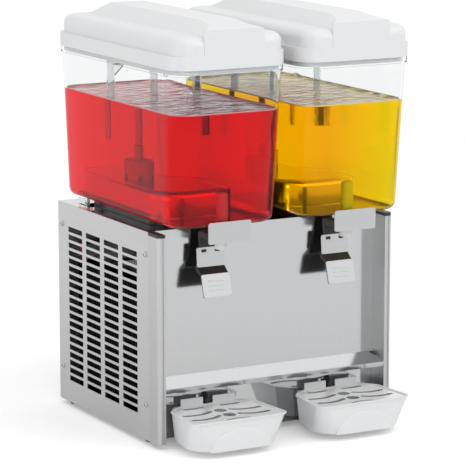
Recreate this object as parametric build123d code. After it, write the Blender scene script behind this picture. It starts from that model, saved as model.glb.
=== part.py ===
from build123d import *
import os

# Twin-bowl cold juice dispenser.
# Modelled from the front plane of the corner posts (y = 0, +Y to the back, floor at z = 0), then
# shifted along Y so that the origin lies on the floor under the middle of the machine's depth.

# Whole machine
WIDTH = 430.0
CABINET_DEPTH = 365.0
DECK_Z = 346.0
FOOT_HEIGHT = 8.0
SHEET = 1.5
GAP = 0.3
RUN = 0.05

# Corner posts
POST_WIDTH = 13.4
POST_SIDE = 33.6
POST_ROUND = 6.0
POST_WALL = 3.0
POST_GROOVE = 4.5
POST_GROOVE_DEPTH = 1.5
POST_LIP = 3.4
CAP_HEIGHT = 5.0

# Front panel with its sloped skirt, and the lower panel behind the trays
PANEL_RECESS = 36.8
SKIRT_TOP_Z = 109.0
SKIRT_NOSE_Y = -1.0
SKIRT_NOSE_Z = 98.2
SKIRT_LIP = 8.0
SKIRT_LIP_BACK = 2.5
SKIRT_CORNER = 9.0
FLANGE = 24.0
BASE_FLANGE = 20.0

# Ventilation slots of the side panels
SLOT_COLUMNS = 4
SLOT_ROWS = 20
SLOT_LENGTH = 52.3
SLOT_HEIGHT = 8.8
SLOT_COLUMN_PITCH = 66.8
SLOT_ROW_PITCH = 13.36

# Panel screws
SCREW_R = 2.0
SCREW_HEAD_R = 4.6
SCREW_HEAD = 2.4
SCREW_SOCKET_R = 1.8
SCREW_LENGTH = 9.0
SCREW_FRONT_Y = 44.0
SCREW_BACK_INSET = 14.0
SCREW_LOW_Z = 66.0
SCREW_HIGH_Z = 309.0

# Feet
FOOT_R = 13.0
FOOT_TAPER = 1.0
FOOT_INSET_X = 22.0
FOOT_FRONT_Y = 62.0
FOOT_BACK_INSET = 22.0

# Bowls
BOWL_X = 114.0
BOWL_CLEAR = 13.0
BOWL_HEIGHT = 250.0
BOWL_BASE_HALF = 92.5
BOWL_TOP_HALF = 100.0
BOWL_BASE_FRONT = -46.0
BOWL_TOP_FRONT = -61.0
BOWL_BASE_BACK_INSET = 0.0
BOWL_TOP_BACK_REACH = 6.0
BOWL_CORNER = 36.0
BOWL_WALL = 3.5
BOWL_FLOOR = 4.0
BOWL_EDGE_ROUND = 14.0
RIM_HEIGHT = 10.0
RIM_OUT = 3.0
COLLAR_WALL = 4.0
BOWL_RUNNER_LENGTH = 44.0
BOWL_RUNNER_WIDTH = 8.0
BOWL_RUNNER_X = 80.0
BOWL_RUNNER_INSET = 65.0

# Juice
JUICE_LEVEL_Z = 536.0

# Lids
LID_OVERHANG = 4.0
LID_BAND = 22.0
LID_STEP = 6.5
LID_FRONT_STEP = 1.0
LID_SHOULDER = 51.0
LID_SHOULDER_ROUND = 15.0
LID_RIDGE = 71.0
LID_RIDGE_TOP_HALF = 29.0
LID_RIDGE_BASE_HALF = 52.0
LID_VISOR = 61.0
LID_VISOR_THICK = 4.0
LID_VISOR_ROUND = 1.2
LID_VISOR_CORNER = 1.5
LID_RIDGE_RISE = 60.0
LID_RIDGE_FALL = 64.0
LID_RIDGE_FLARE = 3.0
LID_RIDGE_DROOP = 1.5
LID_RIDGE_STEPS = 4
LID_WALL = 3.0
LID_LEDGE = 3.0
LID_SKIRT = 8.0
LID_SKIRT_WALL = 2.5
LID_SKIRT_GAP = 1.0

# Evaporators and their pumps
EVAPORATOR_HALF = 65.0
EVAPORATOR_FRONT = 55.0
EVAPORATOR_BACK_INSET = 20.0
EVAPORATOR_CORNER = 40.0
EVAPORATOR_HEIGHT = 57.0
EVAPORATOR_ROUND = 12.0
EVAPORATOR_WALL = 1.5
SEAL_THICK = 2.7
SEAL_HEIGHT = 10.0
PUMP_BACK_INSET = 160.0
SPINDLE_R = 3.0
SPINDLE_HEIGHT = 22.0
IMPELLER_R = 24.0
IMPELLER_DISC = 5.0
IMPELLER_HEIGHT = 16.0
IMPELLER_BLADES = 6
IMPELLER_BLADE = 2.0
IMPELLER_RIM = 1.0
IMPELLER_LIFT = 0.4
PUMP_COVER_R = 32.0
PUMP_COVER_WALL = 2.5
PUMP_COVER_HEIGHT = 29.0
PUMP_PORTS = 6
PUMP_PORT_WIDTH = 10.0
PUMP_PORT_HEIGHT = 7.0
SOCKET_WALL = 3.0
SOCKET_HEIGHT = 24.0
MOTOR_R = 31.0
MOTOR_HEIGHT = 48.0
MOTOR_ROUND = 4.0
MOTOR_FLANGE_X = 80.0
MOTOR_FLANGE_Y = 66.0
MOTOR_FLANGE = 3.5
MOTOR_BOSS_R = 10.0
MOTOR_BOSS = 7.5
MOTOR_SHAFT_R = 3.0
MOTOR_SHAFT_END = 8.0
MAGNET_R = 26.0
MAGNET_HEIGHT = 10.0
MAGNET_SLOT = 2.0
MAGNET_GAP = 3.5
COIL_R = 4.0
COIL_X = 48.0
COIL_FRONT_Y = 90.0
COIL_BACK_INSET = 47.0
COIL_TOP = 42.0
COIL_TAIL = 8.0
COIL_BEND = 18.0

# Spray tubes
RISER_R = 6.5
RISER_BORE_R = 4.5
ARM_Z = 596.0
LEG_X = 78.0
LEG_END_Z = 470.0
GUSSET = 30.0
GUSSET_THICK = 5.0

# Taps
TAP_Y = -20.0
TAP_R = 10.0
TAP_BORE_R = 7.5
TAP_TOP_Z = 410.0
TAP_CAP = 5.0
TAP_ROUND = 4.0
TAP_OUTLET_Z = 320.0
TAP_FLANGE_R = 15.0
TAP_FLANGE = 3.0
TAP_PORT_WIDTH = 8.0
TAP_PORT_HEIGHT = 6.0
TAP_PORT_LIFT = 3.0
PISTON_HEAD = 12.0
PISTON_LAP = 1.0
PISTON_CLEAR = 0.1
PISTON_STEM_R = 3.0
PISTON_EAR_HALF = 3.0
PISTON_EAR = 4.0
SPRING_WIRE_R = 0.7
SPRING_R = 5.2
SPRING_TURNS = 6
COVER_HALF = 38.0
COVER_HEIGHT = 34.0
COVER_TOP_Z = 368.0
COVER_STANDOFF = 4.0
COVER_CORNER = 4.0
COVER_EAR_X = 18.0
COVER_EAR_DEPTH = 19.0
COVER_BOSS_HALF = 9.0
COVER_BOSS_HEIGHT = 12.0

# Levers
PIVOT_Y = -36.0
PIVOT_Z = 338.0
PIVOT_R = 2.0
PIVOT_REACH = 1.5
LEVER_EYE_R = 5.0
LEVER_ARM_DROP = 1.0
LEVER_LIFT_ARM = 30.0
LEVER_BAR_R = 2.5
LEVER_ARM_X = 13.0
LEVER_ARM_WIDTH = 4.0
LEVER_STEM_HALF = 17.0
LEVER_PADDLE_HALF = 24.0
LEVER_TOP_Y = 18.0
LEVER_TOP_Z = 342.0
LEVER_KNEE_Y = 13.0
LEVER_KNEE_Z = 286.0
LEVER_STEP_Y = 0.0
LEVER_STEP_Z = 276.0
LEVER_TOE_Y = -10.0
LEVER_TOE_Z = 241.0
LEVER_THICK = 6.0
PADDLE_THICK = 3.0
LEVER_FLARE = 14.0
PLATE_THICK = 1.2
PLATE_HALF = 25.0
PLATE_TOP_Z = 317.0
PLATE_CORNER = 3.0
PLATE_WINDOW_X = 12.0
PLATE_WINDOW_WIDTH = 9.0
PLATE_WINDOW_HEIGHT = 5.0
PLATE_WINDOW_DROP = 3.0
PLATE_WINDOW_CORNER = 1.0

# Drip trays
TRAY_X = 114.0
TRAY_FLOOR_Z = 11.0
TRAY_RIM_Z = 60.0
TRAY_BACK_Y = 26.0
TRAY_SHOULDER_Y = 2.0
TRAY_FRONT_Y = -87.0
TRAY_BACK_HALF = 58.0
TRAY_SHOULDER_HALF = 77.0
TRAY_FRONT_HALF = 86.0
TRAY_TAPER = 6.0
TRAY_RIM_CORNER = 12.0
TRAY_FLOOR_CORNER = 40.0
TRAY_BACK_CORNER = 8.0
TRAY_WALL = 2.5
TRAY_LEDGE = 3.0
TRAY_LIP = 2.0
TRAY_LIP_HEIGHT = 2.5
ARCH_RELIEF = 4.0
ARCH_HALF = 54.0
ARCH_TOP = 34.0
TAB_INNER = 9.0
TAB_WIDTH = 40.0
TAB_HEIGHT = 12.0
TONGUE_X = 30.0
TONGUE_WIDTH = 28.0
TONGUE_THICK = 3.0
TONGUE_REACH = 22.0
TONGUE_Z = 48.0
CATCH_HALF = 4.0
CATCH_HEIGHT = 8.0
CATCH_REACH = 12.0
CATCH_LIFT = 1.0

# Drip grilles
GRILLE_THICK = 2.5
GRILLE_DROP = 2.0
GRILLE_CLEAR = 0.6
GRILLE_SLOT = 8.0
GRILLE_FLARE = 2.2
GRILLE_ROWS = 2
GRILLE_PITCH = 30.0
GRILLE_SLOT_INNER = 18.0
GRILLE_SLOT_OUTER = 67.0
GRILLE_SLOT_DIP = 10.0
GRILLE_SLOT_RISE = 3.0
GRILLE_MIDDLE_Y = -18.0
GRILLE_BACK_INNER = 18.0
GRILLE_BACK_OUTER = 48.0
GRILLE_BACK_DIP = 1.5
GRILLE_HOLE_R = 10.5
GRILLE_MARK_HALF = 20.0
GRILLE_MARK_RISE = 5.0
GRILLE_MARK_WIDTH = 4.0

# Refrigeration
COMPRESSOR_SIDE_INSET = 113.5
COMPRESSOR_BACK_INSET = 85.0
COMPRESSOR_R = 62.0
COMPRESSOR_HEIGHT = 137.0
COMPRESSOR_ROUND = 18.0
COMPRESSOR_PLATE_X = 170.0
COMPRESSOR_PLATE_Y = 120.0
COMPRESSOR_PLATE = 3.5
CONDENSER_SIDE_GAP = 15.5
CONDENSER_THICK = 38.0
CONDENSER_FRONT_Y = 85.0
CONDENSER_BACK_INSET = 40.0
CONDENSER_TOP_Z = 250.0
CONDENSER_FINS = 24
FIN_THICK = 0.8
CONDENSER_TUBE_R = 4.0
CONDENSER_TUBE_ROWS = 8
CONDENSER_STUB = 8.0
FAN_STANDOFF = 21.0
FAN_Z = 130.0
FAN_R = 88.0
FAN_HUB_R = 18.0
FAN_HUB = 20.0
FAN_ROOT_SINK = 3.0
FAN_BLADES = 5
FAN_BLADE_CHORD = 40.0
FAN_BLADE_THICK = 2.0
FAN_BLADE_ANGLE = 25.0
FAN_SHAFT_R = 3.0
SHROUD_GAP = 10.0
SHROUD_HOLE_R = 97.0
SHROUD_HALF = 112.0
STRAP_STANDOFF = 42.0
STRAP_HEIGHT = 18.0
FAN_MOTOR_R = 28.0
FAN_MOTOR_LENGTH = 44.0
FAN_MOTOR_ROUND = 6.0
PIPE_R = 3.0
PIPE_BEND = 10.0
SUCTION_Z = 285.0
DISCHARGE_Z = 272.0
LIQUID_Z = 310.0

# Electrics
CONTROL_SIDE_INSET = 21.5
CONTROL_WIDTH = 110.0
CONTROL_DEPTH = 56.0
CONTROL_Z = 190.0
CONTROL_HEIGHT = 104.0
CONTROL_ROUND = 4.0
SWITCH_X = 34.0
SWITCH_Z = 305.0
SWITCH_HALF_X = 10.0
SWITCH_HALF_Z = 6.5
SWITCH_BEZEL = 5.0
SWITCH_BEZEL_THICK = 2.0
SWITCH_BODY = 18.0
SWITCH_TILT = 8.0
SWITCH_VALLEY = 2.0
SWITCH_AXLE_R = 1.5
SWITCH_AXLE_REACH = 1.2
SWITCH_CLEAR = 1.2
SWITCH_PIVOT_IN = 3.0
SWITCH_PROUD = 4.0
GLAND_SIDE_INSET = 63.5
GLAND_Z = 42.0
GLAND_R = 8.0
GLAND_BORE_R = 4.2
GLAND_HEAD_R = 13.0
GLAND_HEAD = 8.0
GLAND_ROUND = 2.0
REAR_SLOT_LENGTH = 70.0
REAR_SLOT_ROWS = 12
REAR_SLOT_X = 84.0
REAR_SLOT_LOW_Z = 80.0

# Worked out from the sizes above
HALF = WIDTH / 2
INNER = HALF - SHEET
POST_INNER = HALF - POST_WIDTH
BASE_Z = FOOT_HEIGHT
PAN_Z = BASE_Z + SHEET
DECK_UNDER = DECK_Z - SHEET
REAR_Y = CABINET_DEPTH
PANEL_BACK = PANEL_RECESS + SHEET
BOWL_BASE_BACK = REAR_Y - BOWL_BASE_BACK_INSET
BOWL_TOP_BACK = REAR_Y + BOWL_TOP_BACK_REACH
BOWL_RUNNER_Y = REAR_Y - BOWL_RUNNER_INSET
EVAPORATOR_BACK = REAR_Y - EVAPORATOR_BACK_INSET
PUMP_Y = REAR_Y - PUMP_BACK_INSET
COIL_BACK_Y = REAR_Y - COIL_BACK_INSET
COMPRESSOR_X = INNER - COMPRESSOR_SIDE_INSET
COMPRESSOR_Y = REAR_Y - COMPRESSOR_BACK_INSET
CONDENSER_X = -INNER + CONDENSER_SIDE_GAP
CONDENSER_BACK_Y = REAR_Y - CONDENSER_BACK_INSET
SHROUD_X = CONDENSER_X + CONDENSER_THICK + SHROUD_GAP
FAN_X = SHROUD_X + FAN_STANDOFF
STRAP_X = SHROUD_X + STRAP_STANDOFF
FAN_Y = (CONDENSER_FRONT_Y + CONDENSER_BACK_Y) / 2
CONTROL_X = INNER - CONTROL_SIDE_INSET - CONTROL_WIDTH
GLAND_X = INNER - GLAND_SIDE_INSET
BOWL_Z = DECK_Z + BOWL_CLEAR
RIM_Z = BOWL_Z + BOWL_HEIGHT
LID_Z = RIM_Z
LID_HALF = BOWL_TOP_HALF + RIM_OUT
LID_FRONT = BOWL_TOP_FRONT - LID_OVERHANG
LID_BACK = BOWL_TOP_BACK + LID_OVERHANG
EVAPORATOR_TOP = DECK_Z + EVAPORATOR_HEIGHT
COVER_FRONT = BOWL_BASE_FRONT - COVER_STANDOFF
COVER_BACK = COVER_FRONT + SHEET
LEVER_BAR_Y = PIVOT_Y + LEVER_LIFT_ARM
EAR_Z = PIVOT_Z + GAP
PORT_Z = BOWL_Z + BOWL_FLOOR + TAP_PORT_LIFT
HEAD_Z = PORT_Z - PISTON_LAP
TRAY_NOSE = TRAY_FRONT_Y - ARCH_RELIEF
SHIFT_Y = -(TRAY_NOSE + LID_BACK) / 2
SIDES = {"left": -1.0, "right": 1.0}


def block(x0, x1, y0, y1, z0, z1):
    """Box between two corners."""
    return Pos((x0 + x1) / 2, (y0 + y1) / 2, (z0 + z1) / 2) * Box(x1 - x0, y1 - y0, z1 - z0)


def rod(x, y, z0, z1, radius):
    """Round bar along Z."""
    return Pos(x, y, (z0 + z1) / 2) * Cylinder(radius, z1 - z0)


def rod_x(y, z, x0, x1, radius):
    """Round bar along X."""
    return Pos((x0 + x1) / 2, y, z) * Rot(0, 90, 0) * Cylinder(radius, x1 - x0)


def rod_y(x, z, y0, y1, radius):
    """Round bar along Y."""
    return Pos(x, (y0 + y1) / 2, z) * Rot(90, 0, 0) * Cylinder(radius, y1 - y0)


def rounded(half, front, back, radius):
    """Rectangle with round corners, centred on x = 0."""
    return Pos(0, (front + back) / 2) * RectangleRounded(2 * half, back - front, radius)


def prism(sketch, z0, z1):
    """Sketch on the floor plane, raised between two heights."""
    return extrude(Pos(0, 0, z0) * sketch, amount=z1 - z0, dir=(0, 0, 1))


def side_prism(points, x0, x1):
    """Side outline of (y, z) points, drawn out along X."""
    return extrude(Plane.YZ.offset(x0) * Polygon(*points, align=None), amount=x1 - x0, dir=(1, 0, 0))


def front_prism(points, y0, y1):
    """Front outline of (x, z) points, drawn out along Y."""
    return extrude(Plane.XZ.offset(-y0) * Polygon(*points, align=None), amount=y1 - y0, dir=(0, 1, 0))


def tube_along(points, radius, bend):
    """Round tube along straight runs joined by equal bends."""
    path = FilletPolyline(*points, radius=bend)
    section = Plane(origin=path @ 0, z_dir=path % 0) * Circle(radius)
    return sweep(section, path=path)


def both_sides(left_piece):
    """A left-hand piece and its mirror image."""
    return left_piece + mirror(left_piece, about=Plane.YZ)


# Cabinet

def screw_points():
    """Places (y, z) of the screws that hold a side panel."""
    return [(y, z) for y in (SCREW_FRONT_Y, REAR_Y - SCREW_BACK_INSET) for z in (SCREW_LOW_Z, SCREW_HIGH_Z)]


def screw_holes(x0, x1):
    """Clearance holes for the panel screws of the left side."""
    return [rod_x(y, z, x0, x1, SCREW_R + GAP) for y, z in screw_points()]


def base_pan():
    """Floor pan of the cabinet with turned-up sides."""
    pan = block(-INNER, INNER, PANEL_BACK, REAR_Y - SHEET, BASE_Z, PAN_Z)
    side = block(-INNER, -INNER + SHEET, PANEL_BACK, REAR_Y - SHEET, BASE_Z, BASE_Z + BASE_FLANGE)
    return pan + both_sides(side)


def rubber_feet():
    """Four tapered rubber feet under the pan."""
    feet = Part()
    for x in (-HALF + FOOT_INSET_X, HALF - FOOT_INSET_X):
        for y in (FOOT_FRONT_Y, REAR_Y - FOOT_BACK_INSET):
            feet += Pos(x, y, FOOT_HEIGHT / 2) * Cone(FOOT_R - FOOT_TAPER, FOOT_R, FOOT_HEIGHT)
    return feet


def side_panel():
    """Left side panel with its block of ventilation slots."""
    panel = block(-HALF, -INNER, POST_SIDE, REAR_Y, BASE_Z, DECK_Z)
    middle_y = (POST_SIDE + REAR_Y) / 2
    middle_z = (BASE_Z + DECK_Z) / 2
    cuts = screw_holes(-HALF, -INNER)
    for column in range(SLOT_COLUMNS):
        y = middle_y + (column - (SLOT_COLUMNS - 1) / 2) * SLOT_COLUMN_PITCH
        for row in range(SLOT_ROWS):
            z = middle_z + (row - (SLOT_ROWS - 1) / 2) * SLOT_ROW_PITCH
            cuts.append(Pos(-HALF + SHEET / 2, y, z) * Box(2 * SHEET, SLOT_LENGTH, SLOT_HEIGHT))
    return panel - cuts


def panel_screws():
    """Round-headed screws of both side panels."""
    screws = Part()
    for y, z in screw_points():
        head = rod_x(y, z, -HALF - SCREW_HEAD, -HALF, SCREW_HEAD_R)
        head = fillet(head.edges().group_by(Axis.X)[0], SCREW_HEAD / 2)
        socket = rod_x(y, z, -HALF - SCREW_HEAD, -HALF - SCREW_HEAD / 2, SCREW_SOCKET_R)
        screws += head + rod_x(y, z, -HALF, -HALF + SCREW_LENGTH, SCREW_R) - socket
    return both_sides(screws)


def switch_centres():
    """Places (x, z) of the three rocker switches."""
    return {
        "left_pump_rocker": (-SWITCH_X, SWITCH_Z),
        "cooling_rocker": (0.0, SWITCH_Z),
        "right_pump_rocker": (SWITCH_X, SWITCH_Z),
    }


def rear_panel():
    """Back sheet with flanges, louvre slots, switch openings and the hole of the cable gland."""
    sheet = block(-INNER, INNER, REAR_Y - SHEET, REAR_Y, BASE_Z, DECK_UNDER)
    flange_low = BASE_Z + BASE_FLANGE + GAP
    flange = block(-INNER, -INNER + SHEET, REAR_Y - FLANGE, REAR_Y - SHEET, flange_low, DECK_UNDER)
    sheet += both_sides(flange - screw_holes(-INNER, -INNER + SHEET))
    cuts = [rod_y(GLAND_X, GLAND_Z, REAR_Y - SHEET, REAR_Y, GLAND_R + GAP)]
    for x, z in switch_centres().values():
        half_x = SWITCH_HALF_X + GAP + SHEET
        half_z = SWITCH_HALF_Z + SWITCH_CLEAR + SHEET
        cuts.append(block(x - half_x, x + half_x, REAR_Y - SHEET, REAR_Y, z - half_z, z + half_z))
    for side in SIDES.values():
        for row in range(REAR_SLOT_ROWS):
            z = REAR_SLOT_LOW_Z + row * SLOT_ROW_PITCH
            slot = Box(REAR_SLOT_LENGTH, 2 * SHEET, SLOT_HEIGHT)
            cuts.append(Pos(side * REAR_SLOT_X, REAR_Y - SHEET / 2, z) * slot)
    return sheet - cuts


def front_post():
    """Left hollow corner post with its round outer corner and front groove."""
    outline = Polygon(
        (-HALF, POST_SIDE), (-HALF, 0), (-POST_INNER, 0),
        (-POST_INNER, PANEL_RECESS), (-INNER, PANEL_RECESS), (-INNER, POST_SIDE), align=None)
    corner = outline.vertices().sort_by_distance((-HALF, 0, 0))[0]
    outline = fillet(corner, POST_ROUND)
    hollow = Polygon(
        (-HALF + POST_WALL, POST_SIDE - POST_WALL), (-HALF + POST_WALL, POST_WALL),
        (-POST_INNER - POST_WALL, POST_WALL), (-POST_INNER - POST_WALL, POST_SIDE - POST_WALL), align=None)
    groove = Polygon(
        (-POST_INNER - POST_LIP - POST_GROOVE, 0), (-POST_INNER - POST_LIP, 0),
        (-POST_INNER - POST_LIP, POST_GROOVE_DEPTH),
        (-POST_INNER - POST_LIP - POST_GROOVE, POST_GROOVE_DEPTH), align=None)
    post = prism(outline - hollow - groove, BASE_Z, DECK_Z - CAP_HEIGHT)
    return post, prism(outline, DECK_Z - CAP_HEIGHT, DECK_Z)


def front_panel():
    """Front sheet with side flanges and the sloped skirt over the trays, cut slanting at its ends."""
    skirt_half = POST_INNER - GAP
    skirt = side_prism([
        (PANEL_RECESS, SKIRT_TOP_Z), (SKIRT_NOSE_Y, SKIRT_NOSE_Z),
        (SKIRT_NOSE_Y + SKIRT_LIP_BACK, SKIRT_NOSE_Z - SKIRT_LIP),
        (SKIRT_NOSE_Y + SKIRT_LIP_BACK + SHEET, SKIRT_NOSE_Z - SKIRT_LIP),
        (SKIRT_NOSE_Y + SHEET, SKIRT_NOSE_Z - SHEET), (PANEL_BACK, SKIRT_TOP_Z - SHEET)],
        -skirt_half, skirt_half)
    skirt &= prism(Polygon(
        (-skirt_half, SKIRT_NOSE_Y), (skirt_half, SKIRT_NOSE_Y),
        (skirt_half - SKIRT_CORNER, PANEL_BACK), (SKIRT_CORNER - skirt_half, PANEL_BACK), align=None),
        SKIRT_NOSE_Z - SKIRT_LIP, SKIRT_TOP_Z)
    sheet = block(-INNER, INNER, PANEL_RECESS, PANEL_BACK, SKIRT_TOP_Z - SHEET, DECK_UNDER)
    flange = block(-INNER, -INNER + SHEET, PANEL_BACK, PANEL_RECESS + FLANGE, SKIRT_TOP_Z, DECK_UNDER)
    return sheet + skirt + both_sides(flange - screw_holes(-INNER, -INNER + SHEET))


def tongue_boxes(clear):
    """The two tongues of a tray centred on x = 0, grown by a clearance."""
    tongues = []
    for side in SIDES.values():
        x = side * TONGUE_X
        half = TONGUE_WIDTH / 2 + clear
        end = TRAY_BACK_Y + TONGUE_REACH + clear
        tongues.append(block(x - half, x + half, TRAY_BACK_Y, end,
                             TONGUE_Z - clear, TONGUE_Z + TONGUE_THICK + clear))
    return tongues


def lower_front_panel():
    """Sheet behind the trays, with slots for the tray tongues and flanges at its sides."""
    top_z = SKIRT_TOP_Z - 2 * SHEET
    sheet = block(-INNER, INNER, PANEL_RECESS, PANEL_BACK, BASE_Z, top_z)
    flange_low = BASE_Z + BASE_FLANGE + GAP
    flange = block(-INNER, -INNER + SHEET, PANEL_BACK, PANEL_RECESS + FLANGE, flange_low, top_z)
    sheet += both_sides(flange - screw_holes(-INNER, -INNER + SHEET))
    slots = [Pos(side * TRAY_X, 0, 0) * slot for side in SIDES.values() for slot in tongue_boxes(GAP)]
    return sheet - slots


def top_deck():
    """Deck sheet with holes for the pump bosses and the evaporator coils."""
    deck = block(-INNER, INNER, PANEL_RECESS, REAR_Y, DECK_UNDER, DECK_Z)
    holes = []
    for side in SIDES.values():
        holes.append(rod(side * BOWL_X, PUMP_Y, DECK_UNDER, DECK_Z, MOTOR_BOSS_R + GAP))
        for x in (-COIL_X, COIL_X):
            holes.append(rod(side * BOWL_X + x, COIL_FRONT_Y, DECK_UNDER, DECK_Z, COIL_R + GAP))
    return deck - holes


def tray_catches():
    """Black spring catches over the back edge of each tray."""
    catches = Part()
    for side in SIDES.values():
        z = TRAY_RIM_Z + CATCH_LIFT
        tip = PANEL_RECESS - CATCH_REACH
        arm = side_prism([
            (PANEL_RECESS, z), (tip, z), (tip, z + CATCH_HEIGHT),
            (PANEL_RECESS - CATCH_REACH / 2, z + CATCH_HEIGHT), (PANEL_RECESS, z + 2 * CATCH_HEIGHT)],
            -CATCH_HALF, CATCH_HALF)
        catches += Pos(side * TRAY_X, 0, 0) * arm
    return catches


# Machinery inside the cabinet

def compressor():
    """Hermetic compressor shell on its foot plate."""
    plate_z = PAN_Z + COMPRESSOR_PLATE
    shell = rod(COMPRESSOR_X, COMPRESSOR_Y, plate_z, plate_z + COMPRESSOR_HEIGHT, COMPRESSOR_R)
    shell = fillet(shell.edges().filter_by(GeomType.CIRCLE), COMPRESSOR_ROUND)
    plate = block(COMPRESSOR_X - COMPRESSOR_PLATE_X / 2, COMPRESSOR_X + COMPRESSOR_PLATE_X / 2,
                  COMPRESSOR_Y - COMPRESSOR_PLATE_Y / 2, COMPRESSOR_Y + COMPRESSOR_PLATE_Y / 2,
                  PAN_Z, plate_z)
    return shell + plate


def condenser_rows():
    """Heights of the condenser's tube rows."""
    pitch = (CONDENSER_TOP_Z - PAN_Z) / CONDENSER_TUBE_ROWS
    return [PAN_Z + (row + 0.5) * pitch for row in range(CONDENSER_TUBE_ROWS)]


def condenser():
    """Finned condenser block: end plates, fins and the tube rows through them."""
    x1 = CONDENSER_X + CONDENSER_THICK
    middle = (CONDENSER_X + x1) / 2
    core = Part()
    for z in condenser_rows():
        core += rod_y(middle, z, CONDENSER_FRONT_Y, CONDENSER_BACK_Y + CONDENSER_STUB, CONDENSER_TUBE_R)
    plates = []
    pitch = (CONDENSER_BACK_Y - CONDENSER_FRONT_Y - SHEET) / (CONDENSER_FINS + 1)
    for fin in range(1, CONDENSER_FINS + 1):
        y = CONDENSER_FRONT_Y + fin * pitch
        plates.append(block(CONDENSER_X, x1, y, y + FIN_THICK, PAN_Z, CONDENSER_TOP_Z))
    for y in (CONDENSER_FRONT_Y, CONDENSER_BACK_Y - SHEET):
        plates.append(block(CONDENSER_X, x1, y, y + SHEET, PAN_Z, CONDENSER_TOP_Z))
    return core + plates


def fan_bracket():
    """Shroud plate with the fan's hole, and the strap that carries the motor."""
    front = FAN_Y - SHROUD_HALF
    back = FAN_Y + SHROUD_HALF
    plate = block(SHROUD_X, SHROUD_X + SHEET, front, back, PAN_Z, CONDENSER_TOP_Z)
    plate -= rod_x(FAN_Y, FAN_Z, SHROUD_X, SHROUD_X + SHEET, SHROUD_HOLE_R)
    low = FAN_Z - STRAP_HEIGHT / 2
    high = FAN_Z + STRAP_HEIGHT / 2
    strap = block(STRAP_X, STRAP_X + SHEET, front, back, low, high)
    strap -= rod_x(FAN_Y, FAN_Z, STRAP_X, STRAP_X + SHEET, 2 * FAN_SHAFT_R)
    for y in (front, back - SHEET):
        strap += block(SHROUD_X + SHEET, STRAP_X, y, y + SHEET, low, high)
    return plate + strap


def fan_motor():
    """Round fan motor on the strap, with the bore of the fan's shaft."""
    x0 = STRAP_X + SHEET
    body = rod_x(FAN_Y, FAN_Z, x0, x0 + FAN_MOTOR_LENGTH, FAN_MOTOR_R)
    body = fillet(body.edges().group_by(Axis.X)[-1], FAN_MOTOR_ROUND)
    return body - rod_x(FAN_Y, FAN_Z, x0, x0 + FAN_MOTOR_LENGTH / 2, FAN_SHAFT_R + RUN)


def condenser_fan():
    """Axial fan: hub, shaft and pitched blades."""
    fan = rod_x(FAN_Y, FAN_Z, FAN_X - FAN_HUB / 2, FAN_X + FAN_HUB / 2, FAN_HUB_R)
    shaft_end = STRAP_X + SHEET + FAN_MOTOR_LENGTH / 2 - GAP
    fan += rod_x(FAN_Y, FAN_Z, FAN_X, shaft_end, FAN_SHAFT_R)
    root = FAN_HUB_R - FAN_ROOT_SINK
    blade = Pos(0, 0, (root + FAN_R) / 2) * Rot(0, 0, FAN_BLADE_ANGLE) * Box(
        FAN_BLADE_THICK, FAN_BLADE_CHORD, FAN_R - root)
    for turn in range(FAN_BLADES):
        fan += Pos(FAN_X, FAN_Y, FAN_Z) * Rot(turn * 360 / FAN_BLADES, 0, 0) * blade
    return fan


def refrigerant_pipes():
    """Copper pipes: discharge, two suction lines and the liquid line with its branch."""
    tube_x = CONDENSER_X + CONDENSER_THICK / 2
    stub_y = CONDENSER_BACK_Y + CONDENSER_STUB
    back_y = stub_y + 2 * PIPE_BEND
    rows = condenser_rows()
    shell_top = PAN_Z + COMPRESSOR_PLATE + COMPRESSOR_HEIGHT
    tail_z = DECK_UNDER - COIL_TAIL
    left_in = -BOWL_X - COIL_X
    left_out = -BOWL_X + COIL_X
    right_in = BOWL_X - COIL_X
    right_out = BOWL_X + COIL_X
    suction_x = COMPRESSOR_X - COMPRESSOR_R - 2 * PIPE_BEND
    discharge = tube_along([
        (tube_x, stub_y, rows[-1]), (tube_x, back_y, rows[-1]), (tube_x, back_y, DISCHARGE_Z),
        (COMPRESSOR_X, back_y, DISCHARGE_Z), (COMPRESSOR_X, COMPRESSOR_Y + 2 * PIPE_BEND, DISCHARGE_Z),
        (COMPRESSOR_X, COMPRESSOR_Y + 2 * PIPE_BEND, shell_top)], PIPE_R, PIPE_BEND)
    left_suction = tube_along([
        (left_in, COIL_FRONT_Y, tail_z), (left_in, COIL_FRONT_Y, SUCTION_Z),
        (suction_x, COIL_FRONT_Y, SUCTION_Z), (suction_x, COMPRESSOR_Y, SUCTION_Z),
        (suction_x, COMPRESSOR_Y, FAN_Z - 2 * PIPE_BEND),
        (COMPRESSOR_X - COMPRESSOR_R, COMPRESSOR_Y, FAN_Z - 2 * PIPE_BEND)], PIPE_R, PIPE_BEND)
    right_suction = tube_along([
        (right_in, COIL_FRONT_Y, tail_z), (right_in, COIL_FRONT_Y, DISCHARGE_Z),
        (right_in, COMPRESSOR_Y - PIPE_BEND, DISCHARGE_Z), (right_in, COMPRESSOR_Y - PIPE_BEND, shell_top)],
        PIPE_R, PIPE_BEND)
    liquid = tube_along([
        (tube_x, stub_y, rows[0]), (tube_x, back_y, rows[0]), (left_out, back_y, rows[0]),
        (left_out, back_y, LIQUID_Z), (left_out, COIL_FRONT_Y, LIQUID_Z), (left_out, COIL_FRONT_Y, tail_z)],
        PIPE_R, PIPE_BEND)
    branch = tube_along([
        (left_out + PIPE_R, CONDENSER_BACK_Y, LIQUID_Z), (right_out, CONDENSER_BACK_Y, LIQUID_Z),
        (right_out, COIL_FRONT_Y, LIQUID_Z), (right_out, COIL_FRONT_Y, tail_z)], PIPE_R, PIPE_BEND)
    return Part() + [discharge, left_suction, right_suction, liquid, branch]


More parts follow.
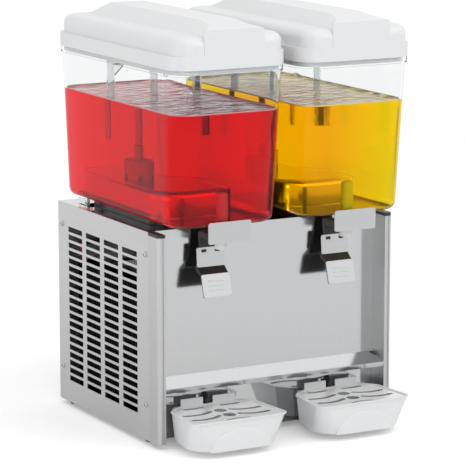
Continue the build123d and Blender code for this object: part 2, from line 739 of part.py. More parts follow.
def evaporator_coils():
    """Copper loop inside each evaporator."""
    coils = Part()
    for side in SIDES.values():
        x = side * BOWL_X
        z = DECK_Z + COIL_TOP
        low = DECK_UNDER - COIL_TAIL
        coils += tube_along([
            (x - COIL_X, COIL_FRONT_Y, low), (x - COIL_X, COIL_FRONT_Y, z), (x - COIL_X, COIL_BACK_Y, z),
            (x + COIL_X, COIL_BACK_Y, z), (x + COIL_X, COIL_FRONT_Y, z), (x + COIL_X, COIL_FRONT_Y, low)],
            COIL_R, COIL_BEND)
    return coils


def control_box():
    """Electrical box on the back of the front panel."""
    box = block(CONTROL_X, CONTROL_X + CONTROL_WIDTH, PANEL_BACK, PANEL_BACK + CONTROL_DEPTH,
                CONTROL_Z, CONTROL_Z + CONTROL_HEIGHT)
    return fillet(box.edges().filter_by(Axis.Y), CONTROL_ROUND)


def switch_frames():
    """Bezels and housings of the rocker switches."""
    frames = Part()
    hole_x = SWITCH_HALF_X + GAP
    hole_z = SWITCH_HALF_Z + SWITCH_CLEAR
    for x, z in switch_centres().values():
        bezel = block(x - hole_x - SWITCH_BEZEL, x + hole_x + SWITCH_BEZEL,
                      REAR_Y, REAR_Y + SWITCH_BEZEL_THICK,
                      z - hole_z - SWITCH_BEZEL, z + hole_z + SWITCH_BEZEL)
        bezel = fillet(bezel.edges().filter_by(Axis.Y), SWITCH_BEZEL_THICK)
        body = block(x - hole_x - SHEET, x + hole_x + SHEET, REAR_Y - SWITCH_BODY, REAR_Y,
                     z - hole_z - SHEET, z + hole_z + SHEET)
        hollow = block(x - hole_x, x + hole_x, REAR_Y - SWITCH_BODY + SHEET, REAR_Y + SWITCH_BEZEL_THICK,
                       z - hole_z, z + hole_z)
        axle_y = REAR_Y - SWITCH_PIVOT_IN
        axle = rod_x(axle_y, z, x - hole_x - SHEET, x + hole_x + SHEET, SWITCH_AXLE_R + RUN)
        frames += bezel + body - hollow - axle
    return frames


def rocker(x, z):
    """Rocker with two sloped faces and an axle, tipped to its off side."""
    back = -SWITCH_BODY / 2
    crest = SWITCH_PIVOT_IN + SWITCH_BEZEL_THICK + SWITCH_PROUD
    valley = crest - SWITCH_VALLEY
    outline = [(back, -SWITCH_HALF_Z / 2), (0, -SWITCH_HALF_Z), (crest, -SWITCH_HALF_Z), (valley, 0),
               (crest, SWITCH_HALF_Z), (0, SWITCH_HALF_Z), (back, SWITCH_HALF_Z / 2)]
    key = side_prism(outline, -SWITCH_HALF_X, SWITCH_HALF_X)
    reach = SWITCH_HALF_X + GAP + SWITCH_AXLE_REACH
    key += rod_x(0, 0, -reach, reach, SWITCH_AXLE_R)
    return Pos(x, REAR_Y - SWITCH_PIVOT_IN, z) * Rot(-SWITCH_TILT, 0, 0) * key


def cable_gland():
    """Gland of the mains lead in the rear panel."""
    gland = rod_y(GLAND_X, GLAND_Z, REAR_Y - SHEET - GLAND_HEAD, REAR_Y, GLAND_R)
    gland += rod_y(GLAND_X, GLAND_Z, REAR_Y, REAR_Y + GLAND_HEAD, GLAND_HEAD_R)
    nut = Pos(GLAND_X, REAR_Y - SHEET, GLAND_Z) * Rot(90, 0, 0) * extrude(
        RegularPolygon(GLAND_HEAD_R, 6), amount=GLAND_HEAD / 2)
    gland += nut
    gland = fillet(gland.edges().group_by(Axis.Y)[-1], GLAND_ROUND)
    return gland - rod_y(GLAND_X, GLAND_Z, REAR_Y - SHEET - GLAND_HEAD, REAR_Y + GLAND_HEAD, GLAND_BORE_R)


# Bowl unit: pieces centred on x = 0, moved to each side afterwards

def evaporator_outline(grow):
    """Plan of the evaporator, grown by a margin."""
    half = EVAPORATOR_HALF + grow
    return rounded(half, EVAPORATOR_FRONT - grow, EVAPORATOR_BACK + grow, EVAPORATOR_CORNER + grow)


def evaporator_form(grow):
    """Rounded evaporator block, grown by a margin."""
    form = prism(evaporator_outline(grow), DECK_Z, EVAPORATOR_TOP + grow)
    return fillet(form.edges().group_by(Axis.Z)[-1], EVAPORATOR_ROUND + grow)


def evaporator():
    """Hollow stainless evaporator with the impeller's spindle on top."""
    return evaporator_form(0) - evaporator_form(-EVAPORATOR_WALL) + rod(
        0, PUMP_Y, EVAPORATOR_TOP, EVAPORATOR_TOP + SPINDLE_HEIGHT, SPINDLE_R)


def bowl_seal():
    """Rubber ring round the evaporator's foot."""
    return prism(evaporator_outline(SEAL_THICK) - evaporator_outline(0), DECK_Z, DECK_Z + SEAL_HEIGHT)


def pump_motor():
    """Pump motor under the deck, with its flange and the boss through the deck."""
    flange_z = DECK_UNDER - MOTOR_FLANGE
    body = rod(0, PUMP_Y, flange_z - MOTOR_HEIGHT, flange_z, MOTOR_R)
    body = fillet(body.edges().group_by(Axis.Z)[0], MOTOR_ROUND)
    flange = prism(Pos(0, PUMP_Y) * RectangleRounded(MOTOR_FLANGE_X, MOTOR_FLANGE_Y, MOTOR_BOSS_R),
                   flange_z, DECK_UNDER)
    boss = rod(0, PUMP_Y, DECK_UNDER, DECK_Z + MOTOR_BOSS, MOTOR_BOSS_R)
    bore_end = flange_z - MOTOR_HEIGHT + MOTOR_SHAFT_END
    return body + flange + boss - rod(0, PUMP_Y, bore_end, DECK_Z + MOTOR_BOSS, MOTOR_SHAFT_R + RUN)


def drive_magnet():
    """Motor shaft with the magnet disc that turns the impeller through the evaporator's top."""
    top = EVAPORATOR_TOP - EVAPORATOR_WALL - MAGNET_GAP
    bore_end = DECK_UNDER - MOTOR_FLANGE - MOTOR_HEIGHT + MOTOR_SHAFT_END
    magnet = rod(0, PUMP_Y, top - MAGNET_HEIGHT, top, MAGNET_R)
    slot = Box(2 * MAGNET_R, MAGNET_SLOT, MAGNET_HEIGHT / 2)
    magnet -= [Pos(0, PUMP_Y, top - MAGNET_HEIGHT / 4) * Rot(0, 0, turn) * slot for turn in (0, 90)]
    return magnet + rod(0, PUMP_Y, bore_end + GAP, top - MAGNET_HEIGHT / 2, MOTOR_SHAFT_R)


def impeller():
    """Bladed pump wheel on the spindle."""
    low = EVAPORATOR_TOP + IMPELLER_LIFT
    wheel = rod(0, PUMP_Y, low, low + IMPELLER_DISC, IMPELLER_R)
    wheel += rod(0, PUMP_Y, low, low + IMPELLER_HEIGHT, 2 * SPINDLE_R)
    blade = Pos(IMPELLER_R / 2, 0, 0) * Box(
        IMPELLER_R - IMPELLER_RIM, IMPELLER_BLADE, IMPELLER_HEIGHT - IMPELLER_DISC)
    middle = low + (IMPELLER_HEIGHT + IMPELLER_DISC) / 2
    for turn in range(IMPELLER_BLADES):
        wheel += Pos(0, PUMP_Y, middle) * Rot(0, 0, turn * 360 / IMPELLER_BLADES) * blade
    return wheel - rod(0, PUMP_Y, low, low + IMPELLER_HEIGHT, SPINDLE_R + RUN)


def pump_cover():
    """Cup over the impeller with inlet ports and the socket of the spray tube."""
    cover_top = EVAPORATOR_TOP + PUMP_COVER_HEIGHT
    cover = rod(0, PUMP_Y, EVAPORATOR_TOP, cover_top, PUMP_COVER_R)
    cover += rod(0, PUMP_Y, cover_top, cover_top + SOCKET_HEIGHT, RISER_R + GAP + SOCKET_WALL)
    cover -= rod(0, PUMP_Y, EVAPORATOR_TOP, cover_top - PUMP_COVER_WALL, PUMP_COVER_R - PUMP_COVER_WALL)
    cover -= rod(0, PUMP_Y, cover_top - PUMP_COVER_WALL, cover_top, RISER_BORE_R)
    cover -= rod(0, PUMP_Y, cover_top, cover_top + SOCKET_HEIGHT, RISER_R + GAP)
    port = Pos(PUMP_COVER_R, 0, PUMP_PORT_HEIGHT / 2) * Box(
        4 * PUMP_COVER_WALL, PUMP_PORT_WIDTH, PUMP_PORT_HEIGHT)
    return cover - [Pos(0, PUMP_Y, EVAPORATOR_TOP) * Rot(0, 0, turn * 360 / PUMP_PORTS) * port
                    for turn in range(PUMP_PORTS)]


def spray_tube():
    """Hollow spray tube: riser, cross arm and two legs, with gussets between the arm and the legs."""
    foot = EVAPORATOR_TOP + PUMP_COVER_HEIGHT + GAP
    tube = rod(0, PUMP_Y, foot, ARM_Z, RISER_R)
    tube += rod_x(PUMP_Y, ARM_Z, -LEG_X, LEG_X, RISER_R)
    for side in SIDES.values():
        x = side * LEG_X
        tube += rod(x, PUMP_Y, LEG_END_Z, ARM_Z, RISER_R)
        tube += Pos(x, PUMP_Y, ARM_Z) * Sphere(RISER_R)
        tube += front_prism([(x, ARM_Z), (x - side * GUSSET, ARM_Z), (x, ARM_Z - GUSSET)],
                            PUMP_Y - GUSSET_THICK / 2, PUMP_Y + GUSSET_THICK / 2)
    tube -= rod(0, PUMP_Y, foot, ARM_Z, RISER_BORE_R)
    tube -= rod_x(PUMP_Y, ARM_Z, -LEG_X, LEG_X, RISER_BORE_R)
    return tube - [rod(x, PUMP_Y, LEG_END_Z, ARM_Z, RISER_BORE_R) for x in (-LEG_X, LEG_X)]


def bowl_section(z, inset):
    """Plan of the tapered bowl at a height, drawn in by a margin."""
    share = (z - BOWL_Z) / BOWL_HEIGHT
    half = BOWL_BASE_HALF + share * (BOWL_TOP_HALF - BOWL_BASE_HALF) - inset
    front = BOWL_BASE_FRONT + share * (BOWL_TOP_FRONT - BOWL_BASE_FRONT) + inset
    back = BOWL_BASE_BACK + share * (BOWL_TOP_BACK - BOWL_BASE_BACK) - inset
    return Pos(0, 0, z) * rounded(half, front, back, BOWL_CORNER - inset)


def bowl_form(z0, z1, inset):
    """Tapered tub between two heights with a round bottom edge."""
    tub = loft([bowl_section(z0, inset).face(), bowl_section(z1, inset).face()], ruled=True)
    return fillet(tub.edges().group_by(Axis.Z)[0], BOWL_EDGE_ROUND - inset)


def bowl_runners():
    """Moulded runners under the bowl's floor that stand on the deck."""
    runners = []
    for side in SIDES.values():
        x = side * BOWL_RUNNER_X
        bar = block(x - BOWL_RUNNER_WIDTH / 2, x + BOWL_RUNNER_WIDTH / 2,
                    BOWL_RUNNER_Y - BOWL_RUNNER_LENGTH / 2, BOWL_RUNNER_Y + BOWL_RUNNER_LENGTH / 2,
                    DECK_Z, BOWL_Z + BOWL_FLOOR / 2)
        runners.append(bar)
    return runners


def bowl():
    """Clear tapered bowl with its rim, the collar round the evaporator and the tap hole."""
    shell = bowl_form(BOWL_Z, RIM_Z, 0)
    rim_foot = bowl_section(RIM_Z - RIM_HEIGHT, -RIM_OUT).face()
    rim = loft([rim_foot, bowl_section(RIM_Z, -RIM_OUT).face()], ruled=True)
    collar = prism(evaporator_outline(SEAL_THICK + GAP + COLLAR_WALL), DECK_Z, BOWL_Z + BOWL_FLOOR)
    shell = shell + rim - bowl_form(BOWL_Z + BOWL_FLOOR, RIM_Z, BOWL_WALL)
    shell = shell + collar + bowl_runners()
    shell -= prism(evaporator_outline(SEAL_THICK + GAP), DECK_Z, BOWL_Z + BOWL_FLOOR)
    return shell - rod(0, TAP_Y, BOWL_Z, BOWL_Z + BOWL_FLOOR, TAP_R + GAP)


def juice():
    """Juice in the bowl, cleared round everything that stands in it."""
    fill = bowl_form(BOWL_Z + BOWL_FLOOR + GAP, JUICE_LEVEL_Z, BOWL_WALL + GAP)
    well = prism(evaporator_outline(SEAL_THICK + GAP), BOWL_Z, EVAPORATOR_TOP + GAP)
    pump = rod(0, PUMP_Y, EVAPORATOR_TOP, EVAPORATOR_TOP + PUMP_COVER_HEIGHT + GAP, PUMP_COVER_R + GAP)
    socket = rod(0, PUMP_Y, EVAPORATOR_TOP, JUICE_LEVEL_Z, RISER_R + SOCKET_WALL + 2 * GAP)
    legs = [rod(x, PUMP_Y, LEG_END_Z - GAP, JUICE_LEVEL_Z, RISER_R + GAP) for x in (-LEG_X, LEG_X)]
    return fill - well - pump - socket - legs - rod(0, TAP_Y, BOWL_Z, TAP_TOP_Z + GAP, TAP_R + GAP)


def lid_outline(inset):
    """Plan of the lid, drawn in by a margin."""
    return rounded(LID_HALF - inset, LID_FRONT + inset, LID_BACK - inset, BOWL_CORNER + RIM_OUT - inset)


def lid_top_outline(inset):
    """Plan of the lid over its band, stepped back at the sides and almost flush in front."""
    half = LID_HALF - LID_STEP - inset
    front = LID_FRONT + LID_FRONT_STEP + inset
    back = LID_BACK - LID_STEP - inset
    return rounded(half, front, back, BOWL_CORNER + RIM_OUT - LID_STEP - inset)


def ridge_points(wall, run):
    """Section of the ridge; run goes from 0 at its level top to 1 at the visor, where it is widest."""
    shoulder_z = LID_Z + LID_SHOULDER - wall
    base_half = LID_RIDGE_BASE_HALF - wall
    spread = LID_RIDGE_BASE_HALF - LID_VISOR_CORNER - LID_RIDGE_TOP_HALF
    top_half = LID_RIDGE_TOP_HALF - wall / 2 + spread * run ** LID_RIDGE_FLARE
    top_z = LID_Z + LID_RIDGE - wall - (LID_RIDGE - LID_VISOR) * run ** LID_RIDGE_DROOP
    return [(-base_half, LID_Z), (base_half, LID_Z), (base_half, shoulder_z),
            (top_half, top_z), (-top_half, top_z), (-base_half, shoulder_z)]


def ridge_front(wall):
    """Front of the ridge, falling and widening to the visor."""
    length = LID_RIDGE_RISE - wall
    sections = []
    for step in range(LID_RIDGE_STEPS + 1):
        run = step / LID_RIDGE_STEPS
        y = LID_FRONT + LID_RIDGE_RISE - length * run
        sections.append(Plane.XZ.offset(-y) * Polygon(*ridge_points(wall, run), align=None))
    return loft(sections)


def lid_form(wall):
    """Stepped lid with its raised ridge, drawn in by a wall."""
    shoulder_z = LID_Z + LID_SHOULDER - wall
    ridge_z = LID_Z + LID_RIDGE - wall
    band = prism(lid_outline(wall), LID_Z, LID_Z + LID_BAND - wall)
    upper = prism(lid_top_outline(wall), LID_Z, shoulder_z)
    upper = fillet(upper.edges().group_by(Axis.Z)[-1], LID_SHOULDER_ROUND - wall)
    back = LID_BACK - LID_STEP - wall
    top = front_prism(ridge_points(wall, 0), LID_FRONT + LID_RIDGE_RISE, LID_BACK)
    top &= side_prism([
        (LID_FRONT, LID_Z), (LID_FRONT, ridge_z), (back - LID_RIDGE_FALL, ridge_z),
        (back, shoulder_z - LID_SHOULDER_ROUND), (back, LID_Z)], -LID_HALF, LID_HALF)
    return band + upper + top + ridge_front(wall)


def lid_visor():
    """Upright front of the ridge, flush with the band."""
    visor = block(-LID_RIDGE_BASE_HALF, LID_RIDGE_BASE_HALF, LID_FRONT, LID_FRONT + LID_VISOR_THICK,
                  LID_Z, LID_Z + LID_VISOR)
    visor = fillet(visor.edges().filter_by(Axis.Y).group_by(Axis.Z)[-1], LID_VISOR_CORNER)
    return fillet(visor.edges().filter_by(Axis.X).group_by(Axis.Z)[-1], LID_VISOR_ROUND)


def lid():
    """White lid: hollow stepped shell with a ledge on the rim and a skirt inside the bowl."""
    skirt_inset = BOWL_WALL + LID_SKIRT_GAP
    skirt_z = LID_Z - LID_SKIRT
    skirt_outer = Pos(0, 0, -RIM_Z) * bowl_section(RIM_Z, skirt_inset)
    skirt_inner = Pos(0, 0, -RIM_Z) * bowl_section(RIM_Z, skirt_inset + LID_SKIRT_WALL)
    ledge_z = LID_Z + LID_LEDGE
    cavity = lid_form(LID_WALL) - prism(lid_outline(0), LID_Z, ledge_z)
    shell = lid_form(0) + lid_visor() - cavity + prism(skirt_outer, skirt_z, LID_Z)
    return shell - prism(skirt_inner, skirt_z, ledge_z)


# Taps and levers

def tap_body():
    """Clear tap tube with its flange, inlet ports, the slot of the piston's ear and the cover boss."""
    tube = rod(0, TAP_Y, TAP_OUTLET_Z, TAP_TOP_Z, TAP_R)
    tube = fillet(tube.edges().group_by(Axis.Z)[-1], TAP_ROUND)
    tube += rod(0, TAP_Y, BOWL_Z - TAP_FLANGE, BOWL_Z, TAP_FLANGE_R)
    boss_top = BOWL_Z - TAP_FLANGE
    tube += block(-COVER_BOSS_HALF, COVER_BOSS_HALF, COVER_BACK, TAP_Y,
                  boss_top - COVER_BOSS_HEIGHT, boss_top)
    tube -= rod(0, TAP_Y, TAP_OUTLET_Z, TAP_TOP_Z - TAP_CAP, TAP_BORE_R)
    tube -= block(-TAP_R, TAP_R, TAP_Y - TAP_PORT_WIDTH / 2, TAP_Y + TAP_PORT_WIDTH / 2,
                  PORT_Z, PORT_Z + TAP_PORT_HEIGHT)
    slot_half = PISTON_EAR_HALF + GAP
    return tube - block(-slot_half, slot_half, TAP_Y, TAP_Y + TAP_R, EAR_Z - GAP, BOWL_Z - TAP_FLANGE)


def tap_piston():
    """Piston that covers the ports, its stem and the ear that the lever lifts."""
    piston = rod(0, TAP_Y, HEAD_Z, HEAD_Z + PISTON_HEAD, TAP_BORE_R - PISTON_CLEAR)
    piston += rod(0, TAP_Y, EAR_Z, HEAD_Z, PISTON_STEM_R)
    return piston + block(-PISTON_EAR_HALF, PISTON_EAR_HALF, TAP_Y, LEVER_BAR_Y + LEVER_BAR_R,
                          EAR_Z, EAR_Z + PISTON_EAR)


def tap_spring():
    """Compression spring between the piston and the cap of the tap."""
    low = HEAD_Z + PISTON_HEAD + SPRING_WIRE_R
    high = TAP_TOP_Z - TAP_CAP - SPRING_WIRE_R
    length = high - low
    coil = Helix(pitch=length / SPRING_TURNS, height=length, radius=SPRING_R, center=(0, TAP_Y, low))
    return sweep(Plane(origin=coil @ 0, z_dir=coil % 0) * Circle(SPRING_WIRE_R), path=coil, is_frenet=True)


def tap_cover():
    """Stainless front plate of the tap with two ears for the lever pin."""
    plate = RectangleRounded(2 * COVER_HALF, COVER_HEIGHT, COVER_CORNER)
    outline = Pos(0, COVER_TOP_Z - COVER_HEIGHT / 2) * plate
    cover = extrude(Plane.XZ.offset(-COVER_BACK) * outline, amount=SHEET)
    for side in SIDES.values():
        inner = side * COVER_EAR_X
        outer = side * (COVER_EAR_X + SHEET)
        ear = block(min(inner, outer), max(inner, outer), COVER_BACK, COVER_BACK + COVER_EAR_DEPTH,
                    PIVOT_Z - LEVER_EYE_R, PIVOT_Z + LEVER_EYE_R)
        cover += ear - rod_x(PIVOT_Y, PIVOT_Z, -COVER_HALF, COVER_HALF, PIVOT_R + RUN)
    return cover


def lever_pin():
    """Steel pin through the cover's ears and the lever's arms."""
    reach = COVER_EAR_X + SHEET + PIVOT_REACH
    return rod_x(PIVOT_Y, PIVOT_Z, -reach, reach, PIVOT_R)


def lever():
    """Black lever: two arms round the tap, the lifting bar, a stem and a flared paddle."""
    arm_top = PIVOT_Z + LEVER_EYE_R - LEVER_ARM_DROP
    body = side_prism([
        (LEVER_TOP_Y, LEVER_TOP_Z), (LEVER_KNEE_Y, LEVER_KNEE_Z),
        (LEVER_KNEE_Y + LEVER_THICK, LEVER_KNEE_Z - LEVER_THICK), (LEVER_TOP_Y + LEVER_THICK, LEVER_TOP_Z)],
        -LEVER_STEM_HALF, LEVER_STEM_HALF)
    paddle = side_prism([
        (LEVER_KNEE_Y, LEVER_KNEE_Z), (LEVER_STEP_Y, LEVER_STEP_Z), (LEVER_TOE_Y, LEVER_TOE_Z),
        (LEVER_TOE_Y + PADDLE_THICK, LEVER_TOE_Z), (LEVER_STEP_Y + PADDLE_THICK, LEVER_STEP_Z - PADDLE_THICK),
        (LEVER_KNEE_Y + LEVER_THICK, LEVER_KNEE_Z - LEVER_THICK)], -LEVER_PADDLE_HALF, LEVER_PADDLE_HALF)
    flare_top = LEVER_KNEE_Z + LEVER_FLARE
    slope = (LEVER_TOP_Y - LEVER_KNEE_Y) / (LEVER_TOP_Z - LEVER_KNEE_Z)
    flare_y = LEVER_KNEE_Y + slope * LEVER_FLARE
    flare = side_prism([
        (LEVER_KNEE_Y, LEVER_KNEE_Z), (LEVER_KNEE_Y + LEVER_THICK, LEVER_KNEE_Z - LEVER_THICK),
        (flare_y + LEVER_THICK, flare_top), (flare_y, flare_top)], -LEVER_PADDLE_HALF, LEVER_PADDLE_HALF)
    flare &= front_prism([
        (-LEVER_PADDLE_HALF, LEVER_KNEE_Z), (-LEVER_STEM_HALF, flare_top), (LEVER_STEM_HALF, flare_top),
        (LEVER_PADDLE_HALF, LEVER_KNEE_Z), (LEVER_PADDLE_HALF, LEVER_TOE_Z),
        (-LEVER_PADDLE_HALF, LEVER_TOE_Z)],
        LEVER_TOE_Y, LEVER_TOP_Y + 2 * LEVER_THICK)
    for side in SIDES.values():
        x0 = side * LEVER_ARM_X
        x1 = side * (LEVER_ARM_X + LEVER_ARM_WIDTH)
        arm = block(min(x0, x1), max(x0, x1), PIVOT_Y, LEVER_TOP_Y + LEVER_THICK,
                    PIVOT_Z - LEVER_EYE_R, arm_top)
        body += arm + rod_x(PIVOT_Y, PIVOT_Z, min(x0, x1), max(x0, x1), LEVER_EYE_R)
    body += rod_x(LEVER_BAR_Y, PIVOT_Z - LEVER_BAR_R, -LEVER_ARM_X, LEVER_ARM_X, LEVER_BAR_R)
    reach = LEVER_ARM_X + LEVER_ARM_WIDTH
    return body + paddle + flare - rod_x(PIVOT_Y, PIVOT_Z, -reach, reach, PIVOT_R + RUN)


def clad_plate(top, bottom, half):
    """Flat plate in front of a sloped face that runs between two (y, z) points."""
    run = Vector(0, bottom[0] - top[0], bottom[1] - top[1])
    middle = Vector(0, (top[0] + bottom[0]) / 2, (top[1] + bottom[1]) / 2)
    outward = Vector(0, run.Z, -run.Y)
    face = Plane(origin=middle, x_dir=(1, 0, 0), z_dir=outward)
    return face, extrude(face * RectangleRounded(2 * half, run.length, PLATE_CORNER), amount=PLATE_THICK)


def push_plates():
    """The two stainless plates that face the lever."""
    slope = (LEVER_TOP_Y - LEVER_KNEE_Y) / (LEVER_TOP_Z - LEVER_KNEE_Z)
    top = (LEVER_KNEE_Y + slope * (PLATE_TOP_Z - LEVER_KNEE_Z), PLATE_TOP_Z)
    face, upper = clad_plate(top, (LEVER_KNEE_Y, LEVER_KNEE_Z), PLATE_HALF)
    window_z = (PLATE_TOP_Z - LEVER_KNEE_Z) / 2 - PLATE_WINDOW_DROP - PLATE_WINDOW_HEIGHT / 2
    window = RectangleRounded(PLATE_WINDOW_WIDTH, PLATE_WINDOW_HEIGHT, PLATE_WINDOW_CORNER)
    for x in (-PLATE_WINDOW_X, PLATE_WINDOW_X):
        upper -= extrude(face * Pos(x, window_z) * window, amount=PLATE_THICK)
    lower = clad_plate((LEVER_STEP_Y, LEVER_STEP_Z), (LEVER_TOE_Y, LEVER_TOE_Z), PLATE_HALF)[1]
    return upper + lower


# Drip trays

def tray_section(z, inset):
    """Plan of the drip tray at a height, drawn in by a margin."""
    share = (z - TRAY_FLOOR_Z) / (TRAY_RIM_Z - TRAY_FLOOR_Z)
    taper = (1 - share) * TRAY_TAPER + inset
    back = TRAY_BACK_Y - inset
    front = TRAY_FRONT_Y + inset
    corner = TRAY_FLOOR_CORNER + share * (TRAY_RIM_CORNER - TRAY_FLOOR_CORNER) - inset
    outline = Polygon(
        (-TRAY_BACK_HALF + taper, back), (-TRAY_SHOULDER_HALF + taper, TRAY_SHOULDER_Y),
        (-TRAY_FRONT_HALF + taper, front), (TRAY_FRONT_HALF - taper, front),
        (TRAY_SHOULDER_HALF - taper, TRAY_SHOULDER_Y), (TRAY_BACK_HALF - taper, back), align=None)
    points = outline.vertices().sort_by(Axis.Y)
    outline = fillet(points[:2], corner)
    points = outline.vertices().sort_by(Axis.Y)
    outline = fillet(points[-2:], TRAY_BACK_CORNER)
    return Pos(0, 0, z) * outline


def tray_form(z0, z1, inset):
    """Tapered tray block between two heights."""
    return loft([tray_section(z0, inset).face(), tray_section(z1, inset).face()], ruled=True)


def drip_tray():
    """White tray with a rim, grille ledge, arched front, back tabs and tongues."""
    arch = Pos(0, TRAY_FLOOR_Z) * Ellipse(ARCH_HALF, ARCH_TOP)
    arch_prism = extrude(Plane.XZ.offset(-TRAY_SHOULDER_Y) * arch, amount=TRAY_SHOULDER_Y - TRAY_NOSE)
    tray = tray_form(TRAY_FLOOR_Z, TRAY_RIM_Z, 0)
    tray += tray_form(TRAY_FLOOR_Z, TRAY_RIM_Z, -ARCH_RELIEF) & arch_prism
    tray += tray_form(TRAY_RIM_Z - TRAY_LIP_HEIGHT, TRAY_RIM_Z, -TRAY_LIP)
    seat_z = TRAY_RIM_Z - GRILLE_DROP - GRILLE_THICK
    tray -= tray_form(TRAY_FLOOR_Z + TRAY_WALL, seat_z, TRAY_WALL + TRAY_LEDGE)
    tray -= tray_form(seat_z, TRAY_RIM_Z, TRAY_WALL)
    for side in SIDES.values():
        x = side * (TAB_INNER + TAB_WIDTH / 2)
        tab = block(x - TAB_WIDTH / 2, x + TAB_WIDTH / 2, TRAY_BACK_Y - TRAY_WALL, TRAY_BACK_Y,
                    TONGUE_Z, TRAY_RIM_Z + TAB_HEIGHT)
        tray += tab
    return tray + tongue_boxes(0)


def grille_slot(side, inner, outer, y, dip, rise, width):
    """Plan of a drain slot that sags from its inner end and rises a little at its outer end."""
    middle = (side * (inner + outer) / 2, y - dip)
    arc = ThreePointArc((side * inner, y), middle, (side * outer, y - dip + rise))
    return SlotArc(arc, width)


def grille_openings(grow):
    """Plans of the drain slots, the two round holes and the bowed front slot, grown by a margin."""
    width = GRILLE_SLOT + 2 * grow
    plans = []
    for side in SIDES.values():
        back_y = GRILLE_MIDDLE_Y + GRILLE_PITCH
        plans.append(grille_slot(side, GRILLE_BACK_INNER, GRILLE_BACK_OUTER, back_y, GRILLE_BACK_DIP,
                                 GRILLE_BACK_DIP, width))
        for row in range(GRILLE_ROWS):
            y = GRILLE_MIDDLE_Y - row * GRILLE_PITCH
            plans.append(grille_slot(side, GRILLE_SLOT_INNER, GRILLE_SLOT_OUTER, y, GRILLE_SLOT_DIP,
                                     GRILLE_SLOT_RISE, width))
    for row in range(GRILLE_ROWS):
        plans.append(Pos(0, GRILLE_MIDDLE_Y - row * GRILLE_PITCH) * Circle(GRILLE_HOLE_R + grow))
    mark_y = GRILLE_MIDDLE_Y - GRILLE_ROWS * GRILLE_PITCH
    crest = (0, mark_y + GRILLE_MARK_RISE)
    bow = ThreePointArc((-GRILLE_MARK_HALF, mark_y), crest, (GRILLE_MARK_HALF, mark_y))
    plans.append(SlotArc(bow, GRILLE_MARK_WIDTH + 2 * grow))
    return plans


def drip_grille():
    """Plate on the tray's ledge, its drain openings wider underneath so that drops fall free."""
    seat_z = TRAY_RIM_Z - GRILLE_DROP - GRILLE_THICK
    top_z = seat_z + GRILLE_THICK
    plate = Pos(0, 0, -seat_z) * tray_section(seat_z, TRAY_WALL + GRILLE_CLEAR)
    grille = prism(plate, seat_z, top_z)
    for under, over in zip(grille_openings(GRILLE_FLARE), grille_openings(0)):
        grille -= loft([(Pos(0, 0, seat_z) * under).face(), (Pos(0, 0, top_z) * over).face()], ruled=True)
    return grille


# Every node of the dispenser

def build_nodes():
    """All nodes by name, still measured from the front of the posts."""
    post, cap = front_post()
    left_panel = side_panel()
    nodes = {
        "base_pan": base_pan(),
        "rubber_feet": rubber_feet(),
        "left_side_panel": left_panel,
        "right_side_panel": mirror(left_panel, about=Plane.YZ),
        "rear_panel": rear_panel(),
        "front_posts": both_sides(post),
        "post_caps": both_sides(cap),
        "front_panel": front_panel(),
        "lower_front_panel": lower_front_panel(),
        "top_deck": top_deck(),
        "panel_screws": panel_screws(),
        "tray_catches": tray_catches(),
        "compressor": compressor(),
        "condenser": condenser(),
        "fan_bracket": fan_bracket(),
        "fan_motor": fan_motor(),
        "condenser_fan": condenser_fan(),
        "refrigerant_pipes": refrigerant_pipes(),
        "evaporator_coils": evaporator_coils(),
        "control_box": control_box(),
        "switch_frames": switch_frames(),
        "cable_gland": cable_gland(),
    }
    for name, (x, z) in switch_centres().items():
        nodes[name] = rocker(x, z)
    fixed_pairs = {
        "evaporators": evaporator(),
        "bowl_seals": bowl_seal(),
        "pump_motors": pump_motor(),
        "pump_covers": pump_cover(),
    }
    for name, piece in fixed_pairs.items():
        nodes[name] = Part() + [Pos(sign * BOWL_X, 0, 0) * piece for sign in SIDES.values()]
    bowl_unit = {
        "drive_magnet": drive_magnet(),
        "impeller": impeller(),
        "spray_tube": spray_tube(),
        "bowl": bowl(),
        "juice": juice(),
        "lid": lid(),
        "tap_body": tap_body(),
        "tap_piston": tap_piston(),
        "tap_spring": tap_spring(),
        "tap_cover": tap_cover(),
        "lever_pin": lever_pin(),
        "lever": lever(),
        "push_plates": push_plates(),
    }
    tray_unit = {"drip_tray": drip_tray(), "drip_grille": drip_grille()}
    for side, sign in SIDES.items():
        for name, piece in bowl_unit.items():
            nodes[side + "_" + name] = Pos(sign * BOWL_X, 0, 0) * piece
        for name, piece in tray_unit.items():
            nodes[side + "_" + name] = Pos(sign * TRAY_X, 0, 0) * piece
    return nodes


os.makedirs("parts", exist_ok=True)
for node, shape in build_nodes().items():
    export_step(Pos(0, SHIFT_Y, 0) * shape, "parts/" + node + ".step")
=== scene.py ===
"""Finishes, small fittings and studio for a twin-bowl cold juice dispenser."""

from __future__ import annotations

import logging
import math
from dataclasses import dataclass
from enum import Enum
from typing import Any, ClassVar

import bmesh
import bpy
from mathutils import Matrix, Vector

